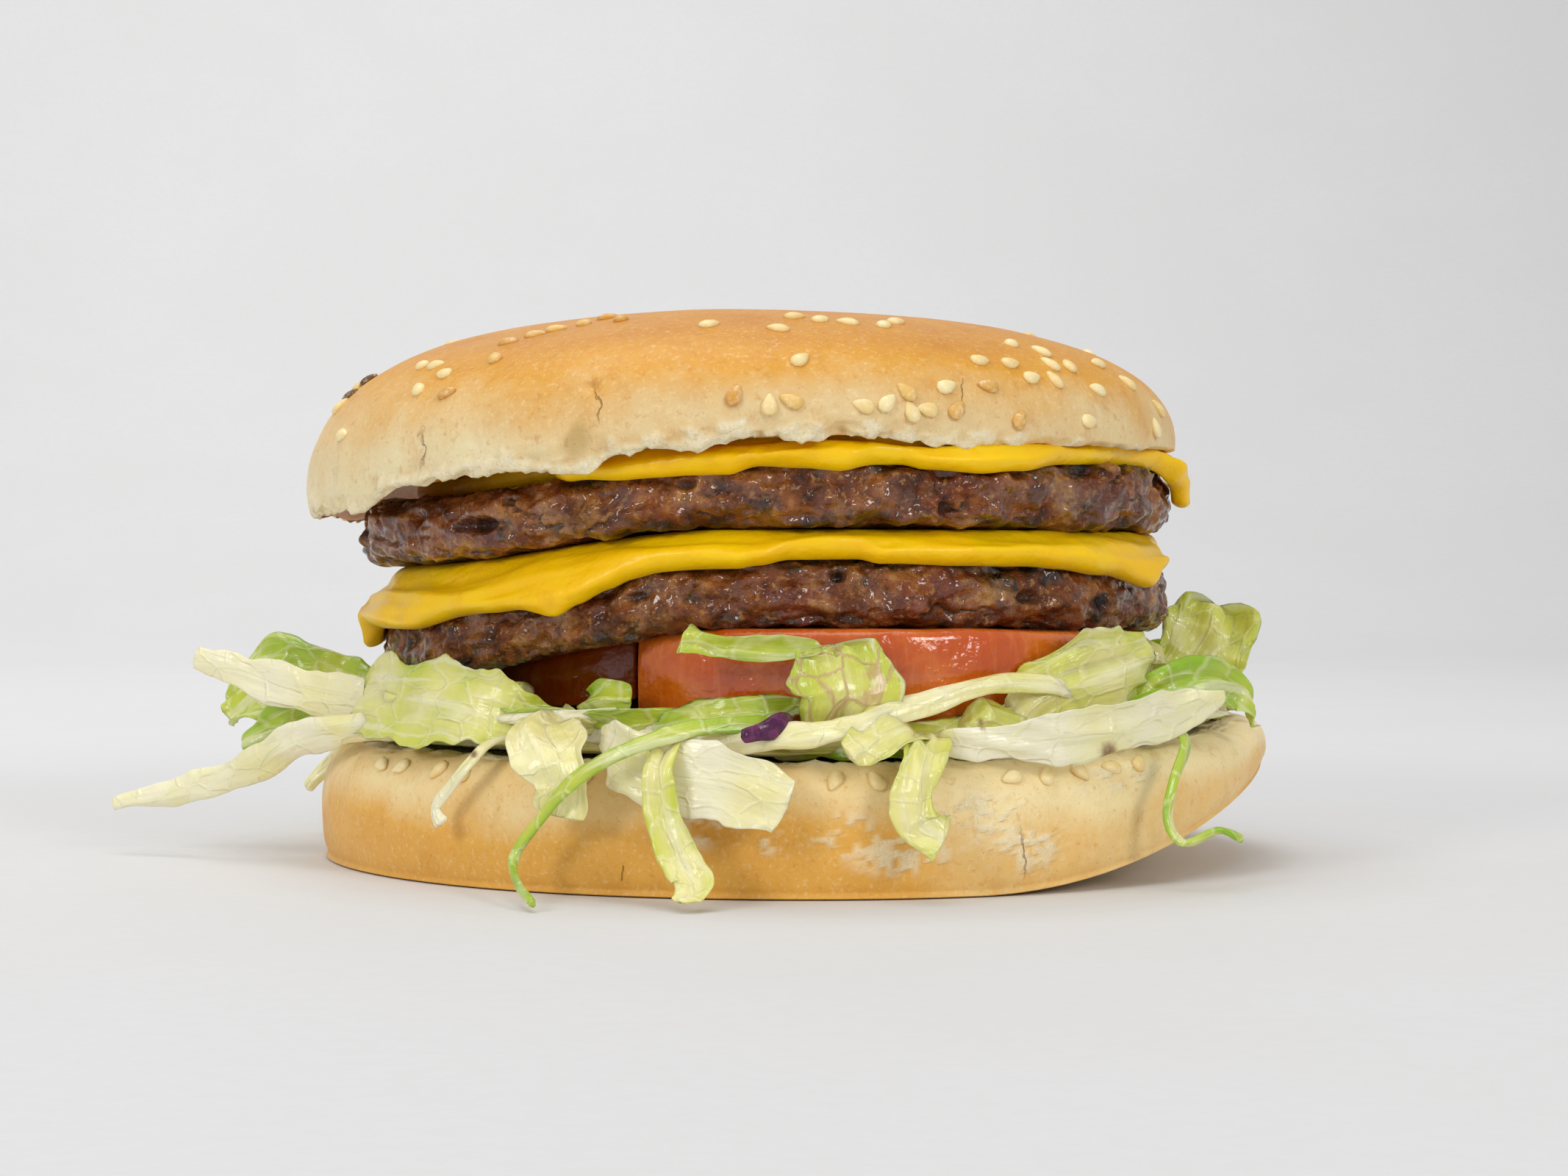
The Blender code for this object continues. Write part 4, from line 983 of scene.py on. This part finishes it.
# %% Lettuce material
LEAF_MARKS = ("green", "across", "along", "rosy", "spot")
lettuce, tree, shader, mm = start_material("crisp iceberg lettuce", {
    "Roughness": 0.28, "Coat Weight": 0.3, "Coat Roughness": 0.08, "Subsurface Weight": 0.3,
    "Subsurface Scale": 1.6 * MM, "Subsurface Radius": (0.9, 1.0, 0.3)})
green, across, along, rosy, spot = (
    add(tree, "Attribute", out="Fac", attribute_name=mark) for mark in LEAF_MARKS)
blotch = add(tree, "TexNoise", {"Vector": mm, "Scale": 1 / 5, "Detail": 4})
tone = add(tree, "Math", {0: blotch, 1: 0.4, 2: -0.2}, operation="MULTIPLY_ADD")
tone = add(tree, "Math", {0: green, 1: tone}, operation="ADD")
leaf = add(tree, "ValToRGB", {"Fac": tone}, stops=(
    (0, "#F2ECCC"), (0.3, "#ECE49A"), (0.6, "#CCD250"), (1, "#8AB41A")))
# The veins are noise stretched 10 times along the leaf, which wanders and forks as they do.
length = add(tree, "Math", {0: along, 1: 0.1}, operation="MULTIPLY")
leaf_place = add(tree, "CombineXYZ", {"X": length, "Y": across})
veins = add(tree, "TexNoise", {"Vector": leaf_place, "Scale": 1 / 1.7, "Detail": 3, "Roughness": 0.55})
lines = add(tree, "MapRange", {"Value": veins, "From Min": 0.52, "From Max": 0.66},
            interpolation_type="SMOOTHSTEP")
pale = add(tree, "Math", {0: lines, 1: 0.5}, operation="MULTIPLY")
leaf = add(tree, "Mix", {0: pale, 6: leaf, 7: linear("#F4F0CE")}, 2, data_type="RGBA")
# Finer veins join them in a net, which is seen best where they are rosy.
stretched = add(tree, "Math", {0: along, 1: 0.6}, operation="MULTIPLY")
net_place = add(tree, "CombineXYZ", {"X": stretched, "Y": across})
bends = add(tree, "TexNoise", {"Vector": net_place, "Scale": 1 / 2.5}, out="Color")
net_place = add(tree, "VectorMath", {0: net_place, 1: bends}, operation="ADD")
net = add(tree, "TexVoronoi", {"Vector": net_place, "Scale": 1 / 3.4}, feature="DISTANCE_TO_EDGE")
net = add(tree, "MapRange", {"Value": net, "From Min": 0.07, "From Max": 0.01})
pale_net = add(tree, "Math", {0: net, 1: 0.3}, operation="MULTIPLY")
leaf = add(tree, "Mix", {0: pale_net, 6: leaf, 7: linear("#F4F0C0")}, 2, data_type="RGBA")
rosy_lines = add(tree, "Math", {0: rosy, 1: net}, operation="MULTIPLY")
rosy_lines = add(tree, "Math", {0: rosy_lines, 1: 0.7}, operation="MULTIPLY")
leaf = add(tree, "Mix", {0: rosy_lines, 6: leaf, 7: linear("#B9745A")}, 2, data_type="RGBA")
leaf = add(tree, "Mix", {0: spot, 6: leaf, 7: linear("#7A4A10")}, 2, data_type="RGBA")
tree.links.new(leaf, shader.inputs["Base Color"])
crinkle = add(tree, "TexNoise", {"Vector": mm, "Scale": 1 / 2.6, "Detail": 3})
relief = add(tree, "Bump", {"Height": veins, "Distance": 0.5 * MM})
relief = add(tree, "Bump", {"Height": crinkle, "Distance": 0.35 * MM, "Normal": relief})
relief = add(tree, "Bump", {"Height": net, "Distance": 0.1 * MM, "Normal": relief})
tree.links.new(relief, shader.inputs["Normal"])

# %% Lettuce shred
# Brown spots on the leaves that the viewer sees, as (x, height, radius).
SPOTS = ((38.5, 17.4, 1.1), (-62.5, 28.4, 0.9), (-40, 17, 0.5), (22.5, 21, 0.5))


def from_polar(degrees, away, height):
    turn = math.radians(degrees)
    return Vector((away * math.cos(turn), away * math.sin(turn), height))


def shred(path, widths, across, wavy, which, thick, green, rosy=0.0, rows=80, around=24):
    """A thin wavy strip along a path. Across says how its width lies: leftwards, outwards, upwards."""
    points = [from_polar(*point) for point in path]
    length = sum((end - start).length for start, end in zip(points, points[1:]))
    cup = 0.06 if which % 2 else -0.06

    def point(turn, share):
        here = through(points, share)
        ahead = through(points, min(share + 0.02, 1)) - through(points, max(share - 0.02, 0))
        outward = Vector((here.x, here.y, 0)).normalized()
        leftward = Vector((outward.y, -outward.x, 0))
        side = across[0] * leftward + across[1] * outward + Vector((0, 0, across[2]))
        side = (side - side.project(ahead)).normalized()
        normal = ahead.cross(side).normalized()
        to_end = min(share, 1 - share) * length
        close = ease(to_end / max(1.0, 0.13 * through(widths, round(share)))) ** 0.5
        width = max(through(widths, share), 0.8)
        v = 0.5 * math.cos(2 * math.pi * turn)
        s = share * length
        torn = 0.1 * lump(s, 5 * v, 0, 2, which) + 0.4 * lump(s, 9 * v, 0, 6, which)
        torn = 1 + torn * ease(3 * abs(v) - 0.5)
        ruffle = wavy * lump(here.x, here.y, 4 * v, 6.5, which) * abs(v) * 2
        ruffle += 0.7 * wavy * lump(s, 0.6 * width * v, 0, 3.4, which + 50) * (0.25 + abs(v))
        ruffle += 0.25 * wavy * lump(s, width * v, 0, 1.5, which + 51)
        ruffle += cup * width * (4 * v * v - 0.5)
        ruffle -= 3.2 * wavy * abs(lump(0.25 * s, width * v, 0, 3, which + 52))
        ruffle *= ease(to_end / 0.6) ** 0.5
        hump = 0.5 * thick * math.sin(2 * math.pi * turn)
        place = here + side * (v * width * close * torn) + normal * (ruffle + hump * close)
        tint = green + 0.22 * (2 * abs(v)) ** 2 * (green > 0.25)
        tint += 0.25 * lump(here.x, here.y, here.z + 4 * v, 9, which + 60)
        brown = max(ease(1.4 - math.hypot(place.x - x, place.z - z) / radius) for x, z, radius in SPOTS)
        return place, tint, v * width, s, rosy, 0.9 * brown * (place.y < 0)

    return rolled("shred", point, LEAF_MARKS, around, rows)

# %% Shred list
# Each shred is its path as (degrees, distance from the axis, height), its widths along the path,
# the way its width lies, how wavy its edges are, how thick it is, how green, and how rosy its veins.
SHREDS = (
    (((207, 54, 18.8), (202, 61, 21), (193, 69, 23), (187, 77, 25.5), (184, 84, 27.5)),
     (4, 6, 6, 5, 3), (0, -0.2, 1), 0.3, 1.6, 0.05),
    (((214, 54, 18.7), (211, 62, 19.3), (199, 69, 17.5), (190, 76, 12.5), (185, 85, 9.3), (182, 96, 6.8)),
     (3, 4, 5, 4.5, 4, 2), (0, 0.5, 1), 0.3, 1.3, 0.08),
    (((178, 56.6, 18.6), (177, 62, 22), (176, 70, 23.5), (175, 77, 22), (174, 82, 18)),
     (2.4, 8, 13, 12, 5), (0.3, -0.3, 1), 1.4, 0.45, 0.65),
    (((192, 54, 18.7), (189, 62, 20), (186, 70, 19), (183, 77, 15.5)),
     (3, 5, 6, 2), (0.2, 0.4, 1), 1.2, 0.45, 0.85),
    (((240, 53, 19), (235, 60.5, 21), (228, 62.8, 22.8), (216, 63, 23), (203, 62.8, 23)),
     (3, 7, 11, 11.5, 10), (0, -0.4, 1), 0.8, 0.5, 0.36),
    (((231, 53, 19), (230.5, 60, 20.5), (232, 60.5, 23), (234, 59.5, 24.6)),
     (3, 4, 4, 2), (1, 0, 0), 0.5, 0.6, 0.85),
    (((244, 52, 19.3), (241, 56.5, 21.8), (244, 58.5, 23.6), (249.5, 58.5, 23.8)),
     (3, 6, 6.5, 3), (0, -0.2, 1), 1.5, 0.4, 0.7),
    (((236, 54, 18.8), (234, 64, 18.4), (233.3, 67.8, 16), (231.5, 68.8, 13), (229.6, 69.2, 10.3),
      (230.4, 69.4, 8)), (2, 2, 1.8, 1.6, 1.6, 2.8), (1, 0, 0), 0.1, 0.7, 0.05),
    (((243, 54, 19), (241, 61, 20.6), (241.5, 65.5, 20.2), (245, 69.2, 17.2), (246.2, 70.2, 13.8),
      (245.8, 70.3, 10)), (5, 8, 9, 9, 8, 6), (1, 0, 0.1), 0.6, 0.9, 0.24),
    (((247, 54, 18.8), (248, 64, 18.6), (252, 69.4, 16.8), (258, 71, 15.5), (264, 71.5, 14.2),
      (269, 71.3, 11.5)), (3, 5, 8, 9, 9, 6), (0, -0.12, 1), 0.5, 0.8, 0.16),
    (((272, 54, 19), (267, 64, 21), (261, 68.5, 21.1), (255, 72.5, 19), (249, 72.8, 15.2), (244.3, 72, 9.5),
      (242, 73, 4.6), (245.5, 79, 2.2), (248.5, 84, 1.1)),
     (1.4, 2, 2, 1.8, 1.8, 1.6, 1.4, 1.4, 1.2), (0.5, -0.3, 1), 0.1, 1.0, 0.72),
    (((305, 54, 18.3), (305.5, 60, 19.8), (303, 61.6, 24.8), (293, 62, 25.8), (282, 63.5, 23),
      (274, 65.5, 20.4), (266, 67, 19.6), (257, 65, 19.2), (252, 56, 18.6)),
     (2.4, 2.2, 2.6, 2.8, 3, 3.2, 3.2, 3, 3), (0, -0.4, 1), 0.2, 1.0, 0.2),
    (((259, 54, 18.7), (257.3, 65, 19.4), (257.1, 72.3, 16.8), (257.2, 73.3, 11.5), (259, 74, 6.5),
      (260.8, 76, 2.8), (260.2, 80, 1.2)), (4, 4.5, 4.2, 4.2, 5, 4.6, 2.5), (1, 0, 0), 0.7, 0.5, 0.34),
    (((275, 54, 18.8), (275, 60.8, 20.6), (275.4, 63.2, 24.5), (275, 61.8, 28.3), (274.4, 60, 30.8)),
     (6, 10, 13, 12.5, 10), (1, 0, 0), 0.8, 0.45, 0.45, 0.8),
    (((273, 60, 30), (266, 60.2, 30), (260, 60.3, 30.6), (256.5, 60, 31.6)),
     (2.2, 3.2, 2.8, 4.6), (0, -0.3, 1), 1.5, 0.4, 0.7),
    (((284, 54, 18.2), (283, 60.5, 19.2), (281, 64.5, 20.6), (277.5, 67, 19), (275, 68.2, 17.4)),
     (2.4, 4.5, 8, 6, 3), (0.8, -0.4, 0.6), 0.7, 0.5, 0.34),
    (((287, 54, 18), (288, 58.5, 18.4), (290, 62, 20.8), (293, 62.6, 21.4), (298, 62, 20)),
     (2.4, 3, 5, 6, 3), (0, -0.3, 1), 1.0, 0.45, 0.42),
    (((286, 54, 18.7), (284, 64, 18.9), (282.3, 69, 16.4), (281.4, 70.4, 12.5), (281.6, 70.8, 9.2),
      (284, 71.3, 7.2)), (5, 6, 5.5, 5, 5.5, 7), (1, 0, 0.1), 0.8, 0.5, 0.36),
    (((294, 54, 18.3), (296, 60.8, 20.8), (302, 61.8, 25.2), (311, 61.8, 27.3), (319, 61.2, 28.6)),
     (2.4, 5, 10, 12, 6), (-0.35, -0.15, 1), 0.9, 0.5, 0.36),
    (((288, 54, 18.6), (286, 63.5, 18.6), (293, 67, 18.9), (302, 68.5, 19.4), (312, 69, 21.3),
      (320, 71, 23.8)), (2, 3, 5, 7, 7, 2), (0, 0.25, 1), 0.5, 0.8, 0.1),
    (((311, 53, 18.4), (314, 60.5, 21), (317, 63, 24), (322, 65.4, 25.6), (329, 68, 24.4),
      (331, 69.5, 19.5)), (2.4, 4, 6, 6, 6, 2), (0.1, -0.3, 1), 1.3, 0.45, 0.8),
    (((309, 54, 18), (310.5, 59, 18.8), (314, 62.5, 22), (322, 66.5, 23.6)),
     (2.4, 2.6, 4, 2), (0, -0.3, 1), 0.7, 0.6, 0.75),
    (((358, 50, 20.5), (360, 55, 25), (362, 58.5, 30), (364, 60.5, 34.5)),
     (5, 11, 14, 10), (0, 1, 0), 1.8, 0.5, 0.45),
    (((320, 54, 19), (318, 62, 20), (314.8, 69, 18.5), (311.2, 71.2, 14), (309.8, 71.6, 9), (311, 73, 6),
      (314.2, 75, 7.4), (317, 76, 6.2)), (3, 2, 1.6, 1.5, 1.5, 1.6, 1.6, 1.6), (1, 0, 0.1), 0.1, 0.9, 0.75),
    (((128, 54, 19), (130, 63, 20), (129, 69.5, 17), (127.5, 71, 11.5)),
     (5, 7, 6, 3), (1, 0, 0), 0.8, 0.5, 0.3),
    (((106, 54, 19.2), (102, 60, 21.5), (96, 62.5, 22.8), (87, 61.5, 21.5)),
     (4, 9, 9, 5), (0, -0.3, 1), 1.0, 0.6, 0.5),
    (((60, 54, 19), (66, 64, 19.6), (78, 69.5, 18), (87, 71.5, 14), (93, 72, 9)),
     (3, 4, 4, 3.6, 2.4), (0, 0.1, 1), 0.3, 1.2, 0.1),
    (((44, 53, 19.8), (41, 60, 22.5), (35, 64, 24), (28, 66, 23)),
     (4, 6, 7, 3), (0, -0.3, 1), 1.0, 0.6, 0.6),
    (((148, 54, 19.2), (150, 62, 20.2), (154, 69, 17.5), (158, 73, 12), (160, 78, 6.5)),
     (3, 4, 3.5, 3, 1.6), (0.3, 0.2, 1), 0.3, 1.2, 0.15),
)
shreds = [shred(*row[:4], 70 + which, *row[4:]) for which, row in enumerate(SHREDS)]
print(len(shreds), "shreds")

# %% [markdown]
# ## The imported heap
# Under the shreds lies what they grow from: a bed on the heel, and a long folded leaf pressed between
# it and the lower patty, round the back. Short loose shreds, laid round by a seeded draw, hide where
# the bed ends, so that the heap looks shredded from every side.

# %% Bed and packed leaf
BED_RADIUS = 58.0
BED_THICK = 3.2
BED_SECTION = tuple(Vector((*row, 0)) for row in (
    (0, 0), (0.6, 0), (0.97, 0), (1.0, 0.35), (0.985, 0.8), (0.93, 1.0), (0.5, 1.0), (0, 1.0)))


def bed_point(turn, level):
    """A point of the flat bed of lettuce, whose rim is folded."""
    share, up, _ = through(BED_SECTION, level)
    degrees = 360 * turn
    around = math.radians(degrees)
    wide = BED_RADIUS + 1.3 * lump(math.cos(around), math.sin(around), up, 0.18, 8)
    x = share * wide * math.cos(around)
    y = share * wide * math.sin(around)
    z = HEEL_HEIGHT + GAP + heel_lift(x, 1) + BED_THICK * up
    place = Vector((x, y, z))
    fold = lump(x, y, 3 * z, 3.5, 51) + 0.5 * lump(x, y, 3 * z, 1.6, 52)
    place += Vector((x, y, 0)).normalized() * (0.9 * fold * ease((share - 0.8) / 0.15))
    return place, 0.35 + 0.4 * fold, 5 * up, 12 * turn, 0.0, 0.0


bed = rolled("bed", bed_point, LEAF_MARKS, around=220, rows=36)
PACKED = (((-12, 51, 25), (20, 50, 25.2), (60, 50, 25.6), (100, 50, 25.4), (125, 51, 23.7),
           (150, 51.5, 22.2), (175, 52.5, 21.7), (200, 53, 21.7), (216, 52.5, 22), (227, 52, 22)),
          (13, 14, 14.6, 14.2, 11, 8, 7.2, 7.4, 7.6, 6), (0, 0, 1), 1.2, 100, 3.0, 0.35)
packed = shred(*PACKED, rows=260, around=34)

# %% Loose shreds round the rim
LOOSE_SHREDS = 110


def loose_shred(which):
    """A short curled strip, lying in the gap between the heel and the patty."""
    middle = 360 * which / LOOSE_SHREDS + chance.uniform(-3, 3)
    away = chance.uniform(54, 59.5)
    height = chance.uniform(18.4, 22)
    if 300 < middle or middle < 140:
        height += chance.uniform(0, 8)
    spread = chance.uniform(5, 12) * chance.choice((-1, 1))
    rise = chance.uniform(-1.5, 2)
    bow = chance.uniform(0.5, 4)
    path = ((middle - spread, away - 1, height - rise), (middle - spread / 3, away + bow, height),
            (middle + spread / 3, away + bow, height + rise / 2),
            (middle + spread, away - 1, height + rise))
    width = chance.uniform(1.4, 5)
    lie = (0, chance.uniform(-0.8, 0.6), 1)
    tint = chance.choice((0.05, 0.2, 0.3, 0.4, 0.6, 0.8))
    widths = (0.6 * width, width, width, 0.5 * width)
    return shred(path, widths, lie, 0.9, 110 + which, 0.5, tint, rows=20, around=10)


loose = [loose_shred(which) for which in range(LOOSE_SHREDS)]
heap = joined("lettuce_shreds", [bed, packed, *shreds, *loose])
dress(heap, lettuce, "lettuce", "lettuce_heap")

# %% [markdown]
# ## Red cabbage
# One bit of red cabbage is mixed in. A raw leaf has a waxy gloss over deep purple, with redder
# patches and fine ribs. It is one more shred, so the same function makes it.

# %% Cabbage
cabbage, tree, shader, mm = start_material("red cabbage", {"Roughness": 0.25})
purple = patched(tree, mm, linear("#4A1240"), (1.5, 0.45, 0.65, 0.7, "#7A2E62"))
tree.links.new(purple, shader.inputs["Base Color"])
ribs = add(tree, "TexNoise", {"Vector": mm, "Scale": 1 / 1.2})
tree.links.new(add(tree, "Bump", {"Height": ribs, "Distance": 0.15 * MM}), shader.inputs["Normal"])
CABBAGE = (((270, 56, 19.6), (268.5, 66, 21), (264.5, 70.4, 20)), (2, 3.4, 1.8), (0, -0.3, 1),
           0.4, 99, 0.6, 0)
dress(joined("cabbage_shred", [shred(*CABBAGE)]), cabbage, "lettuce")
